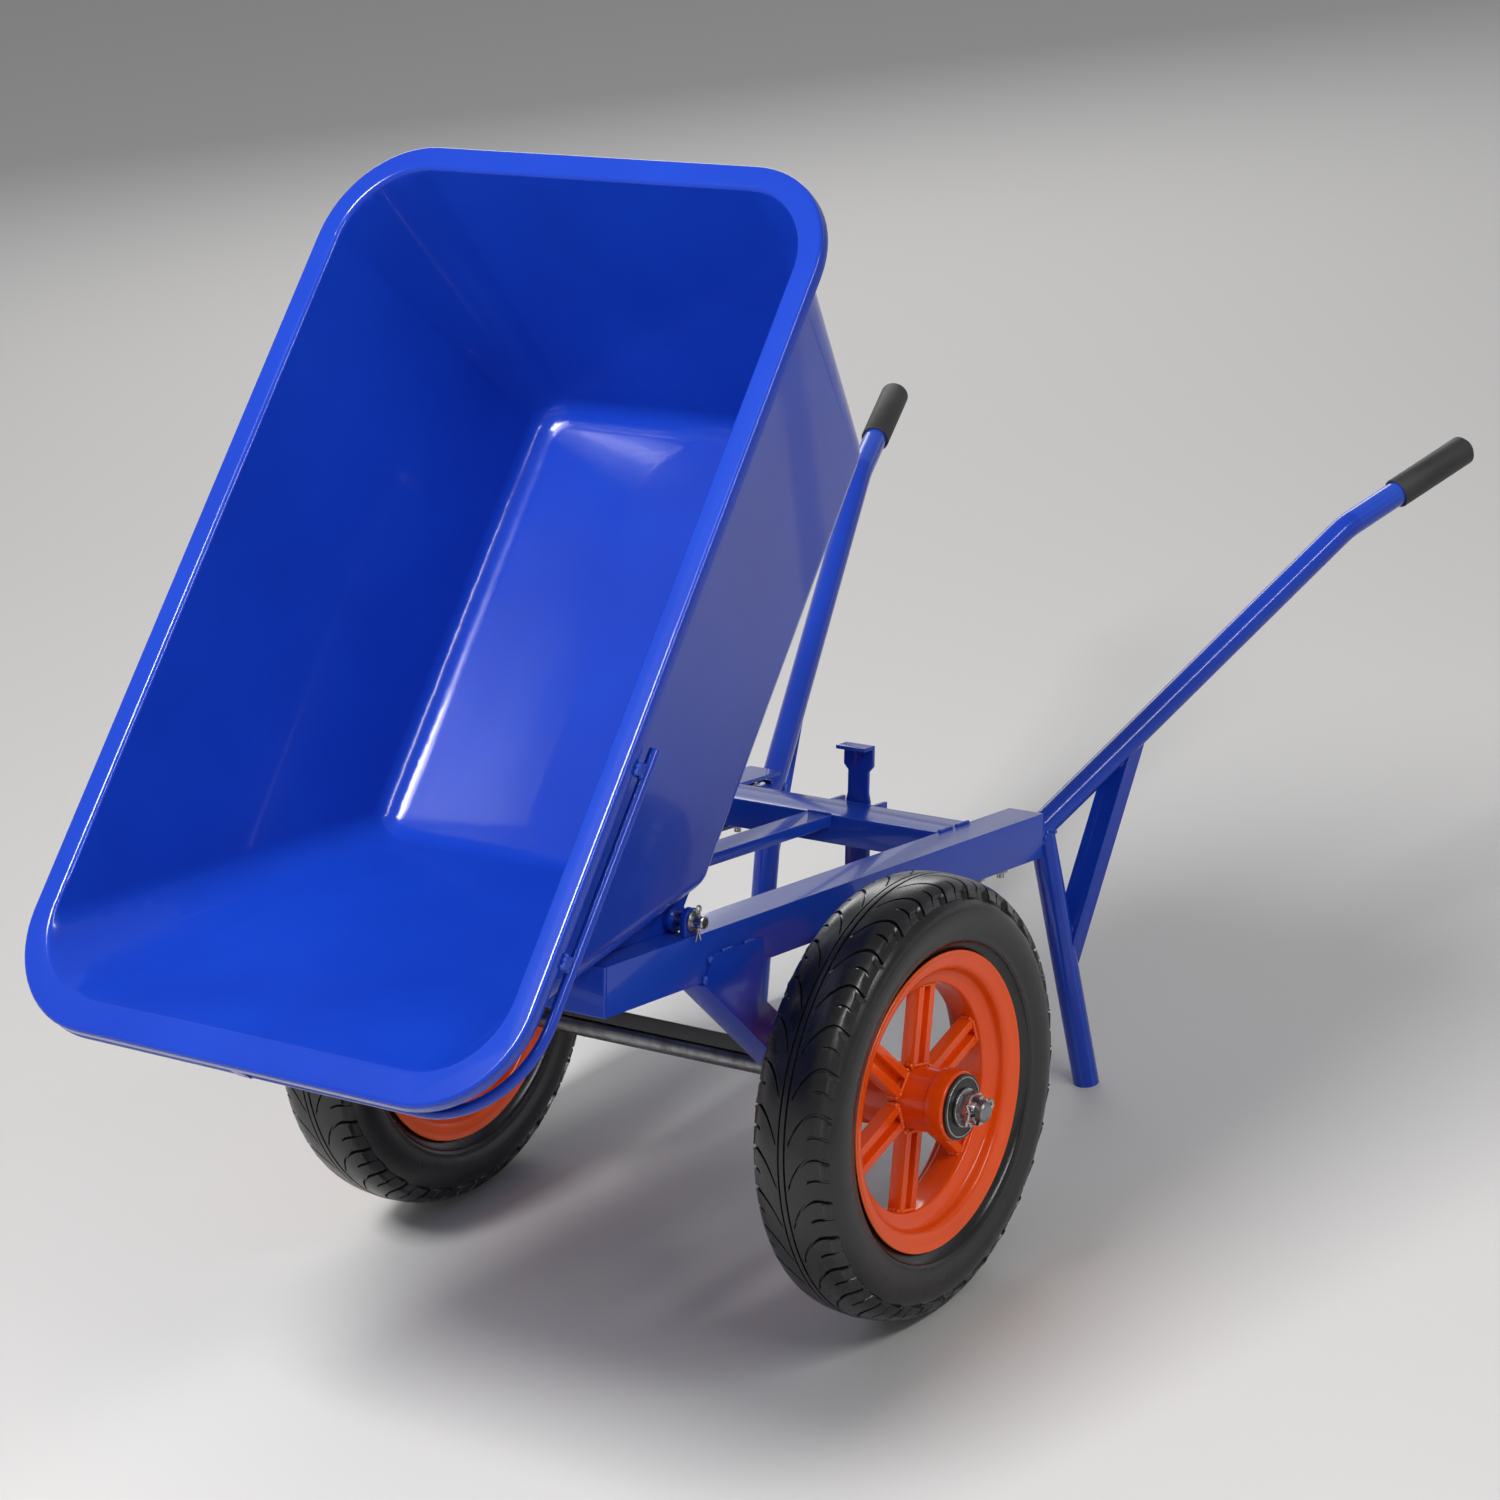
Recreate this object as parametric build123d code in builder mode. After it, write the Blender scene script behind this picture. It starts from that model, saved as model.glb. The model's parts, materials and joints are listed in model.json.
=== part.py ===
"""Two-wheeled tipping barrow: steel tray on a channel frame, pneumatic wheels, rear handles.

Chassis axes: origin at the middle of the axle, +X along the rails to the handles,
+Y to the right-hand side, +Z square to the rails. The chassis stands nose-up on its
wheels and legs, so every chassis piece is turned by stand_angle before it is written.
Left and right are those of a person who stands between the handles and looks forward.
"""

import os
from math import cos, radians, sin, sqrt

from build123d import *

# ---------------------------------------------------------------- driving sizes (mm)
wheel_d = 420.0
tyre_width = 94.0
tyre_wall = 8.0
inner_tube_wall = 2.5
track = 560.0
rim_d = 285.0
rim_half_width = 35.0
bead_d = 253.0
rim_sheet = 3.0
valve_d = 8.0
spoke_count = 6
spoke_width = 27.0
spoke_depth = 14.0
spoke_wall = 2.5
spoke_groove = 10.5
spoke_groove_depth = 7.5
spoke_face = 11.0
spoke_turn = 7.0
hub_d = 60.0
hub_collar_d = 67.0
hub_collar_length = 20.0
hub_length = 114.0
bearing_od = 47.0
bearing_width = 14.0
axle_d = 20.0
axle_end = 26.0
axle_cotter_r = 2.0

stand_angle = 12.6

rail_outer_y = 181.0
rail_width = 40.0
rail_height = 46.0
rail_wall = 4.0
rail_front = -336.0
rail_length = 740.0
rail_top = 180.0

front_member_depth = 30.0
rear_member_front = 266.0
rear_member_width = 60.0
rear_member_height = 30.0
beam_width = 30.0
beam_height = 12.0
beam_wall = 3.0

bracket_wall = 4.0
bracket_foot = 189.0
bracket_inner_foot = 102.0
bracket_drop = 33.0
bracket_overlap = 24.0
bracket_flange = 36.0
bracket_end_r = 21.0
stiffener_leg = 15.0
stiffener_wall = 3.0

tube_d = 27.0
tube_wall = 2.3
handle_inset = 118.0
handle_bend_x = 414.0
handle_knee = (804.0, 309.0, 438.0)
grip_tip = (966.0, 366.5, 509.0)
handle_bend_r = 60.0
knee_bend_r = 120.0
grip_length = 112.0
grip_wall = 2.75
grip_end_wall = 5.0
leg_top_x = 425.0
leg_foot = (460.0, 209.5, -112.0)
brace_leg = 25.0
brace_wall = 3.0
brace_top = (522.0, 233.0)
brace_low = (436.0, 30.0)

tip_angle = 55.6
tray_rim_length = 886.0
tray_rim_width = 556.0
tray_rim_r = 100.0
tray_floor_front = 314.0
tray_floor_length = 458.0
tray_floor_width = 372.0
tray_floor_r = 32.0
tray_depth = 296.0
tray_sheet = 1.5
tray_floor_fillet = 26.0
rim_flange = 24.0
rim_front_flange = 30.0
rim_skirt = 12.0
mouth_r = 5.0
tray_lip = (-621.0, 126.0)

lip_bar_d = 10.0
lip_bar_reach = 346.0
lip_bar_gap = 9.0
lip_bar_inset = 6.0
lip_bar_overhang = 1.5

pivot = (-205.0, 194.0)
pivot_d = 12.0
pivot_end = 192.0
lug_y = 175.0
lug_wall = 6.0
lug_r = 11.5
arm_y = 152.0
arm_wall = 5.0
arm_strip = 26.0
arm_strip_wall = 3.0
arm_reach = 240.0
knuckle_r = 13.5
knuckle_length = 18.0
keeper_width = 24.0
keeper_wall = 4.0
pivot_cotter_r = 1.2

latch_x = 338.0
latch_z = 166.0
latch_width = 28.0
latch_waist = 24.0
latch_wall = 5.0
latch_top = 239.0
latch_foot = 100.0
latch_nose = 18.0
latch_head = 35.0
latch_lip_wall = 4.0
latch_pin_d = 8.0
latch_ear_gap = 47.0
latch_ear_wall = 4.0
spring_wire = 2.0
spring_turns = 3
spring_leg = 46.0

bolt_d = 8.0
bolt_places = (310.0, 354.0)

# ---------------------------------------------------------------- clearances (mm)
run_fit = 0.05      # radial, a turning piece on its shaft
slip = 0.1          # radial, a pin in its hole
seat = 0.2          # between welded or seated faces
air = 0.5           # between a turning piece and a fixed one

# ---------------------------------------------------------------- derived sizes
axle_height = wheel_d / 2
wheel_y = track / 2
rail_bottom = rail_top - rail_height
rail_inner_y = rail_outer_y - rail_width
rail_rear = rail_front + rail_length
tube_r = tube_d / 2
grip_d = tube_d + 2 * grip_wall
tube_y = rail_outer_y - rail_wall - tube_r - 1.5
tube_z = rail_bottom + rail_wall + tube_r + slip
seal_wall = 3.0
hub_end = hub_length / 2 + seal_wall
washer_wall = 3.0
nut_height = 16.0
nut_width = 30.0
washer_y = wheel_y + hub_end + air
nut_y = washer_y + washer_wall + slip
axle_half = wheel_y + hub_end + axle_end
cotter_y = nut_y + nut_height - 3.5
tray_turn = Location((tray_lip[0], 0, tray_lip[1]), (0, -tip_angle, 0))
sides = (("left", -1), ("right", 1))

finished = []


def keep(piece, label, side=1, place=Location()):
    """Place a finished piece on the chassis, mirrored for the left side, under its name."""
    body = piece.part.moved(place)
    if side < 0:
        body = mirror(body, about=Plane.XZ)
    body.label = label
    finished.append(body)


def channel(width, height, wall, length, plane):
    """A channel section, open to its own -X side, extruded from the plane."""
    with BuildPart() as section:
        with BuildSketch(plane):
            Rectangle(width, height)
            with Locations((-wall, 0)):
                Rectangle(width, height - 2 * wall, mode=Mode.SUBTRACT)
        extrude(amount=length)
    return section


# ---------------------------------------------------------------- frame rails and members
def rail():
    """A side rail: a channel with its web outside and its flanges turned inwards."""
    section_plane = Plane(
        origin=(rail_front, rail_outer_y - rail_width / 2, rail_top - rail_height / 2),
        x_dir=(0, 1, 0),
        z_dir=(1, 0, 0),
    )
    with BuildPart() as piece:
        add(channel(rail_width, rail_height, rail_wall, rail_length, section_plane))
        with Locations(*[(x, tube_y, rail_bottom + rail_wall) for x in bolt_places]):
            Hole(bolt_d / 2 + 0.3, depth=rail_wall + 1)
    return piece


for word, side in sides:
    keep(rail(), f"{word}_rail", side)

with BuildPart() as front_cross_member:
    with BuildSketch(Plane.YZ.offset(rail_front - rail_wall)):
        with Locations((0, rail_top - rail_height / 2)):
            Rectangle(2 * rail_outer_y, rail_height)
    extrude(amount=rail_wall)
    with BuildSketch(Plane.YZ.offset(rail_front)):
        with Locations(
            (0, rail_top - rail_wall / 2), (0, rail_bottom + rail_wall / 2)
        ):
            Rectangle(2 * (rail_inner_y - seat), rail_wall)
    extrude(amount=front_member_depth)
keep(front_cross_member, "front_cross_member")

rear_member_rear = rear_member_front + rear_member_width
with BuildPart() as rear_cross_member:
    with BuildSketch(Plane.XZ.offset(-(rail_inner_y - seat))):
        with Locations(
            (rear_member_front + rear_member_width / 2, rail_top - rear_member_height / 2)
        ):
            Rectangle(rear_member_width, rear_member_height)
            with Locations((0, -rail_wall)):
                Rectangle(
                    rear_member_width - 2 * rail_wall,
                    rear_member_height,
                    mode=Mode.SUBTRACT,
                )
    extrude(amount=2 * (rail_inner_y - seat))
keep(rear_cross_member, "rear_cross_member")

beam_front = rail_front + front_member_depth + seat
beam_rear = rear_member_front - seat
with BuildPart() as centre_beam:
    with BuildSketch(Plane.YZ.offset(beam_front)):
        with Locations((0, rail_top - beam_height / 2)):
            Rectangle(beam_width, beam_height)
            with Locations((0, -beam_wall)):
                Rectangle(beam_width - 2 * beam_wall, beam_height, mode=Mode.SUBTRACT)
    extrude(amount=beam_rear - beam_front)
keep(centre_beam, "centre_beam")


# ---------------------------------------------------------------- axle and its brackets
def axle_bracket():
    """A pressed V plate on the outside of the rail, with a flange down each outer edge."""
    foot_z = rail_bottom - 6
    plate_top = rail_bottom + bracket_overlap
    edge_slope = foot_z / bracket_foot
    reach = bracket_end_r * sqrt(1 + edge_slope**2)
    top_x = bracket_foot - 8
    inner_z = rail_bottom - bracket_drop
    apex_z = inner_z - (bracket_inner_foot - 6) * 0.885 + 10
    with BuildPart() as piece:
        with BuildSketch(Plane.XZ.offset(-rail_outer_y)):
            with BuildLine():
                Polyline(
                    (-top_x, plate_top),
                    (-bracket_foot - 3, rail_bottom + 1),
                    (-bracket_foot, foot_z),
                    (0, -reach),
                    (bracket_foot, foot_z),
                    (bracket_foot + 3, rail_bottom + 1),
                    (top_x, plate_top),
                    (bracket_inner_foot, plate_top),
                    (bracket_inner_foot, inner_z),
                    (6, apex_z),
                    (-6, apex_z),
                    (-bracket_inner_foot, inner_z),
                    (-bracket_inner_foot, plate_top),
                    close=True,
                )
            make_face()
            with Locations((0, -reach - 10)):
                Rectangle(90, 2 * (reach + 10 - bracket_end_r + 1), mode=Mode.SUBTRACT)
            Circle(bracket_end_r)
        extrude(amount=-bracket_wall)
        for way in (-1, 1):
            edge = Vector(bracket_foot * way, 0, foot_z + reach).normalized()
            outward = Vector(edge.Z, 0, -edge.X) * way
            start = Vector(0, 0, -reach) + edge * (bracket_end_r + 16)
            flange_plane = Plane(origin=start, x_dir=(0, 1, 0), z_dir=edge)
            rise = rail_bottom - seat - start.Z - bracket_wall * abs(edge.X)
            length = rise / edge.Z
            with BuildSketch(flange_plane):
                with Locations(
                    flange_plane.to_local_coords(
                        start
                        - outward * (bracket_wall / 2)
                        + Vector(0, rail_outer_y - bracket_flange / 2 + bracket_wall, 0)
                    )
                ):
                    Rectangle(bracket_flange, bracket_wall)
            extrude(amount=length)
        with Locations(Plane.XZ):
            Cylinder(axle_d / 2 + seat, 4 * wheel_d, mode=Mode.SUBTRACT)
    return piece


for word, side in sides:
    keep(axle_bracket(), f"{word}_axle_bracket", side)

with BuildPart() as axle:
    Cylinder(axle_d / 2, 2 * axle_half, rotation=(90, 0, 0))
    chamfer(axle.edges().filter_by(GeomType.CIRCLE), 1.5)
    for way in (-1, 1):
        with Locations(Location((0, way * cotter_y, 0), (0, 90, 0))):
            Cylinder(axle_cotter_r + slip, 2 * axle_d, mode=Mode.SUBTRACT)
keep(axle, "axle")

stiffener_half = rail_outer_y - bracket_flange - bracket_wall
with BuildPart() as axle_stiffener:
    with BuildSketch(Plane.XZ.offset(-stiffener_half)):
        with Locations((stiffener_leg / 2 - 8, axle_d / 2 + seat + stiffener_wall / 2)):
            Rectangle(stiffener_leg, stiffener_wall)
        with Locations(
            (-8 + stiffener_wall / 2, axle_d / 2 + seat + stiffener_leg / 2)
        ):
            Rectangle(stiffener_wall, stiffener_leg)
    extrude(amount=2 * stiffener_half)
keep(axle_stiffener, "axle_stiffener")

spacer_start = rail_outer_y + bracket_wall + seat
with BuildPart() as axle_spacers:
    for way in (-1, 1):
        with BuildSketch(Plane.XZ.offset(-way * spacer_start)):
            Circle(axle_d / 2 + 6)
            Circle(axle_d / 2 + slip, mode=Mode.SUBTRACT)
        extrude(amount=-way * (wheel_y - hub_end - air - spacer_start))
keep(axle_spacers, "axle_spacers")

with BuildPart() as axle_washers:
    for way in (-1, 1):
        with BuildSketch(Plane.XZ.offset(-way * washer_y)):
            Circle(axle_d / 2 + 8.5)
            Circle(axle_d / 2 + slip, mode=Mode.SUBTRACT)
        extrude(amount=-way * washer_wall)
keep(axle_washers, "axle_washers")

with BuildPart() as axle_nuts:
    for way in (-1, 1):
        with BuildSketch(Plane.XZ.offset(-way * nut_y)):
            RegularPolygon(nut_width / 2, 6, major_radius=False)
            Circle(axle_d / 2 + slip, mode=Mode.SUBTRACT)
        extrude(amount=-way * (nut_height - 6))
        with BuildSketch(Plane.XZ.offset(-way * (nut_y + nut_height - 6))):
            Circle(nut_width / 2 - 1)
            Circle(axle_d / 2 + slip, mode=Mode.SUBTRACT)
            with PolarLocations(0, 3):
                Rectangle(nut_width * 2, 5.5, mode=Mode.SUBTRACT)
        extrude(amount=-way * 6)
keep(axle_nuts, "axle_nuts")


def cotter_pin(wire_r, eye_r, leg, hole_half, splay):
    """A split pin along Z: an eye above, a straight shank, and two legs bent apart."""
    eye_z = hole_half + 2 + eye_r
    with BuildPart() as piece:
        with BuildSketch(Plane.XY.offset(hole_half + 3)):
            Circle(wire_r)
        extrude(amount=-(2 * hole_half + 5))
        with BuildSketch(Plane.XY.offset(eye_z)):
            with Locations((eye_r, 0)):
                Circle(wire_r * 0.9)
        revolve(axis=Axis((0, 0, eye_z), (0, 1, 0)))
        lean = radians(splay)
        for way in (-1, 1):
            with BuildSketch(
                Plane(
                    origin=(0, 0, -hole_half - 1.5),
                    z_dir=(way * sin(lean), 0, -cos(lean)),
                )
            ):
                Circle(wire_r * 0.7)
            extrude(amount=leg)
    return piece


with BuildPart() as axle_cotter_pins:
    for way in (-1, 1):
        with Locations(Location((0, way * cotter_y, 0), (0, 90, 0))):
            add(cotter_pin(axle_cotter_r, 4.5, 12.0, nut_width / 2 - 1, 62))
keep(axle_cotter_pins, "axle_cotter_pins")


# ---------------------------------------------------------------- handles, legs and braces
def handle_path():
    """Centre line of a right-hand handle tube, from inside the rail to the grip."""
    start = (rail_rear - handle_inset, tube_y, tube_z)
    bend = (handle_bend_x, tube_y, tube_z)
    with BuildLine() as path:
        FilletPolyline(
            start, bend, handle_knee, grip_tip, radius=(handle_bend_r, knee_bend_r)
        )
    return path


def tube_along_handle(outer_r, inner_r=0.0):
    """A tube swept down the handle's centre line."""
    path = handle_path()
    with BuildPart() as piece:
        with BuildSketch(Plane(path.line @ 0, z_dir=path.line % 0)):
            Circle(outer_r)
            if inner_r:
                Circle(inner_r, mode=Mode.SUBTRACT)
        sweep(path=path.line)
    return piece


def handle_tube():
    """A bent round tube bolted through the rail."""
    with BuildPart() as piece:
        add(tube_along_handle(tube_r, tube_r - tube_wall))
        with Locations(*[(x, tube_y, tube_z + tube_r) for x in bolt_places]):
            Hole(bolt_d / 2 + 0.3, depth=2 * tube_d)
    return piece


for word, side in sides:
    keep(handle_tube(), f"{word}_handle_tube", side)


def grip():
    """A rubber sleeve with a closed, rounded end, pushed over the tube."""
    bore_r = tube_r + seat
    with BuildPart() as piece:
        with BuildSketch(Plane.XZ):
            with BuildLine():
                Polyline(
                    (bore_r, 0),
                    (grip_d / 2, 0),
                    (grip_d / 2, grip_length - 6),
                    (grip_d / 2 - 6, grip_length),
                    (0, grip_length),
                    (0, grip_length - grip_end_wall),
                    (bore_r, grip_length - grip_end_wall),
                    close=True,
                )
            make_face()
        revolve(axis=Axis.Z)
        fillet(piece.edges().filter_by(GeomType.CIRCLE).group_by(Axis.Z)[-1], 3)
    return piece


tip = Vector(*grip_tip)
grip_axis = (tip - Vector(*handle_knee)).normalized()
grip_place = Plane(
    origin=tip - grip_axis * (grip_length - grip_end_wall - seat), z_dir=grip_axis
).location
for word, side in sides:
    keep(grip(), f"{word}_grip", side, grip_place)

# the leg leaves the handle just behind the end of the rail
run = Vector(*handle_knee) - Vector(handle_bend_x, tube_y, tube_z)
leg_share = (leg_top_x - handle_bend_x) / run.X
leg_top = Vector(handle_bend_x, tube_y, tube_z) + run * leg_share
leg_axis = (Vector(*leg_foot) - leg_top).normalized()
floor = Plane(
    origin=Vector(sin(radians(stand_angle)), 0, -cos(radians(stand_angle))) * axle_height,
    z_dir=(-sin(radians(stand_angle)), 0, cos(radians(stand_angle))),
)


def leg_rod(radius, start, length, hollow=0.0):
    """A round piece on the leg's centre line, cut off level with the floor."""
    with BuildPart() as piece:
        with BuildSketch(Plane(origin=leg_top + leg_axis * start, z_dir=leg_axis)):
            Circle(radius)
            if hollow:
                Circle(hollow, mode=Mode.SUBTRACT)
        extrude(amount=length)
        split(bisect_by=floor, keep=Keep.TOP)
    return piece


leg_run = (Vector(*leg_foot) - leg_top).length
for word, side in sides:
    with BuildPart() as leg:
        add(leg_rod(tube_r, 0, 2 * leg_run, tube_r - tube_wall))
        add(tube_along_handle(tube_r + seat), mode=Mode.SUBTRACT)
    keep(leg, f"{word}_leg", side)
    plug = leg_rod(tube_r - tube_wall - seat, leg_run - 12, leg_run)
    keep(plug, f"{word}_foot_plug", side)


def leg_brace():
    """An angle iron from the underside of the handle down to the back of the leg."""
    share = (brace_top[0] - handle_bend_x) / run.X
    on_handle = Vector(handle_bend_x, tube_y, tube_z) + run * share
    on_leg = leg_top + leg_axis * ((brace_low[1] - leg_top.Z) / leg_axis.Z)
    high = Vector(brace_top[0], on_handle.Y + brace_leg / 2, brace_top[1])
    low = Vector(brace_low[0], on_leg.Y + brace_leg / 2, brace_low[1])
    line = (high - low).normalized()
    handle_way = run.normalized()
    above = (Vector(0, 0, 1) - handle_way * handle_way.Z).normalized()
    behind = (Vector(1, 0, 0) - leg_axis * leg_axis.X).normalized()
    under_handle = Plane(origin=on_handle, z_dir=above * -1)
    behind_leg = Plane(origin=on_leg, z_dir=behind)
    with BuildPart() as piece:
        with BuildSketch(Plane(origin=low - line * 60, x_dir=(1, 0, 0), z_dir=line)):
            with BuildLine():
                Polyline(
                    (0, 0),
                    (brace_leg, 0),
                    (brace_leg, -brace_wall),
                    (brace_wall, -brace_wall),
                    (brace_wall, -brace_leg),
                    (0, -brace_leg),
                    close=True,
                )
            make_face()
        extrude(amount=(high - low).length + 160)
        split(bisect_by=under_handle, keep=Keep.TOP)
        split(bisect_by=behind_leg, keep=Keep.TOP)
        add(tube_along_handle(tube_r + seat), mode=Mode.SUBTRACT)
        add(leg_rod(tube_r + seat, 0, 2 * leg_run), mode=Mode.SUBTRACT)
    return piece


for word, side in sides:
    keep(leg_brace(), f"{word}_leg_brace", side)

nut_top = rail_bottom - 1.6 - slip
bolt_seat = tube_z + tube_r + slip
bolt_spots = [(x, way * tube_y) for x in bolt_places for way in (-1, 1)]
with BuildPart() as handle_bolts:
    with BuildSketch(Plane.XY.offset(bolt_seat)):
        with Locations(*bolt_spots):
            RegularPolygon(6.5, 6, major_radius=False)
    extrude(amount=5.3)
    with BuildSketch(Plane.XY.offset(bolt_seat)):
        with Locations(*bolt_spots):
            Circle(bolt_d / 2)
    extrude(amount=-(bolt_seat - rail_bottom + 14))
keep(handle_bolts, "handle_bolts")

with BuildPart() as handle_nuts:
    with BuildSketch(Plane.XY.offset(nut_top)):
        with Locations(*bolt_spots):
            RegularPolygon(6.5, 6, major_radius=False)
            Circle(bolt_d / 2 + slip, mode=Mode.SUBTRACT)
    extrude(amount=-6.5)
keep(handle_nuts, "handle_nuts")

with BuildPart() as handle_washers:
    with BuildSketch(Plane.XY.offset(rail_bottom - slip)):
        with Locations(*bolt_spots):
            Circle(bolt_d)
            Circle(bolt_d / 2 + slip, mode=Mode.SUBTRACT)
    extrude(amount=-1.5)
keep(handle_washers, "handle_washers")


# ---------------------------------------------------------------- tray pivot
def pivot_lug():
    """An upright ear welded on the rail, with the hole for the tray's pivot rod."""
    lug_foot = rail_top + seat
    with BuildPart() as piece:
        with BuildSketch(Plane.XZ.offset(-(lug_y - lug_wall / 2))):
            with Locations((pivot[0], (lug_foot + pivot[1]) / 2)):
                Rectangle(2 * lug_r, pivot[1] - lug_foot)
            with Locations(pivot):
                Circle(lug_r)
                Circle(pivot_d / 2 + slip, mode=Mode.SUBTRACT)
            with Locations((pivot[0], lug_foot - 10)):
                Rectangle(60, 20, mode=Mode.SUBTRACT)
        extrude(amount=-lug_wall)
    return piece


for word, side in sides:
    keep(pivot_lug(), f"{word}_pivot_lug", side)

pin_y = pivot_end - 7.5
with BuildPart() as pivot_rod:
    with BuildSketch(Plane.XZ.offset(pivot_end)):
        with Locations(pivot):
            Circle(pivot_d / 2)
    extrude(amount=-2 * pivot_end)
    chamfer(pivot_rod.edges().filter_by(GeomType.CIRCLE), 1.0)
    for way in (-1, 1):
        with Locations((pivot[0], way * pin_y, pivot[1])):
            Cylinder(pivot_cotter_r + slip, 2 * pivot_d, mode=Mode.SUBTRACT)
keep(pivot_rod, "pivot_rod")

with BuildPart() as pivot_washers:
    for way in (-1, 1):
        with BuildSketch(Plane.XZ.offset(-way * (lug_y + lug_wall / 2 + seat))):
            with Locations(pivot):
                Circle(pivot_d / 2 + 4)
                Circle(pivot_d / 2 + slip, mode=Mode.SUBTRACT)
        extrude(amount=-way * 2.5)
keep(pivot_washers, "pivot_washers")

with BuildPart() as pivot_cotter_pins:
    for way in (-1, 1):
        with Locations((pivot[0], way * pin_y, pivot[1])):
            add(cotter_pin(pivot_cotter_r, 3.2, 11.0, pivot_d / 2, 22))
keep(pivot_cotter_pins, "pivot_cotter_pins")


# ---------------------------------------------------------------- tray
# run of each wall: how far it leans outwards for every millimetre of height
front_run = (tray_floor_front - rim_front_flange) / tray_depth
tray_floor_rear = tray_floor_front + tray_floor_length
rear_run = (tray_rim_length - rim_flange - tray_floor_rear) / tray_depth
side_run = (tray_rim_width / 2 - rim_flange - tray_floor_width / 2) / tray_depth


def tub_outline(level, grow, corner_r):
    """The tray's inside outline at one level, with every wall moved out by grow."""
    front = tray_floor_front - front_run * (level + tray_depth) - grow * sqrt(1 + front_run**2)
    rear = tray_floor_rear + rear_run * (level + tray_depth) + grow * sqrt(1 + rear_run**2)
    half = tray_floor_width / 2 + side_run * (level + tray_depth)
    half += grow * sqrt(1 + side_run**2)
    with BuildSketch(Plane.XY.offset(level)) as outline:
        with Locations(((front + rear) / 2, 0)):
            RectangleRounded(rear - front, 2 * half, corner_r + grow)
    return outline.sketch


def tub(grow):
    """The tapering body of the tray as a solid, grown by grow on every side but the top."""
    with BuildPart() as piece:
        loft(
            [
                tub_outline(0, grow, tray_rim_r - rim_flange),
                tub_outline(-tray_depth - grow, grow, tray_floor_r),
            ],
            ruled=True,
        )
        fillet(piece.faces().sort_by(Axis.Z)[0].edges(), tray_floor_fillet + grow)
    return piece


def rim_slab(inset, top):
    """The block inside the turned-down rim, drawn in by inset, from the skirt's foot up."""
    with BuildPart() as piece:
        with BuildSketch(Plane.XY.offset(-rim_skirt)):
            with Locations((tray_rim_length / 2, 0)):
                RectangleRounded(
                    tray_rim_length - 2 * inset,
                    tray_rim_width - 2 * inset,
                    tray_rim_r - inset,
                )
        extrude(amount=rim_skirt + top)
        if top == 0:
            fillet(piece.faces().sort_by(Axis.Z)[-1].edges(), 4.0 - inset)
    return piece


with BuildPart() as tray_shell:
    add(rim_slab(0, 0))
    add(rim_slab(tray_sheet, -tray_sheet), mode=Mode.SUBTRACT)
    add(tub(tray_sheet))
    add(tub(0), mode=Mode.SUBTRACT)
    # the sheet turns over softly from the walls into the flange
    under, over = tray_shell.faces().filter_by(Axis.Z).sort_by(Axis.Z)[-2:]
    fillet(over.inner_wires()[0].edges(), mouth_r)
    fillet(under.inner_wires()[0].edges(), mouth_r + tray_sheet)
keep(tray_shell, "tray_shell", place=tray_turn)

bar_r = lip_bar_d / 2
bar_z = -rim_skirt - lip_bar_gap - bar_r
with BuildPart() as lip_bar:
    side_y = tray_rim_width / 2 + lip_bar_overhang
    with BuildLine() as bar_path:
        FilletPolyline(
            (lip_bar_reach, -side_y, bar_z),
            (lip_bar_inset, -side_y, bar_z),
            (lip_bar_inset, side_y, bar_z),
            (lip_bar_reach, side_y, bar_z),
            radius=tray_rim_r - lip_bar_inset,
        )
    with BuildSketch(Plane(bar_path.line @ 0, z_dir=bar_path.line % 0)):
        Circle(bar_r)
    sweep(path=bar_path.line)
    # weld tacks that carry the bar from the turned-down edge of the rim
    tack_top = -rim_skirt - seat
    for way in (-1, 1):
        for s in (lip_bar_reach - 22, lip_bar_reach - 196):
            with Locations((s, way * (tray_rim_width / 2 - 0.8), (bar_z + tack_top) / 2)):
                Box(11, 7.2, tack_top - bar_z)
    with Locations((3.6, 0, (bar_z + tack_top) / 2)):
        Box(7.2, 14, tack_top - bar_z)
keep(lip_bar, "lip_bar", place=tray_turn)


def in_tray(x, z):
    """Where a point of the tipped chassis lies along the tray and above its lip."""
    turn = radians(tip_angle)
    along, up = x - tray_lip[0], z - tray_lip[1]
    return (along * cos(turn) + up * sin(turn), up * cos(turn) - along * sin(turn))


pivot_s, pivot_t = in_tray(*pivot)
arm_front = in_tray(rail_front, rail_top + air)
arm_foot = in_tray(pivot[0], rail_top + air)


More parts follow.
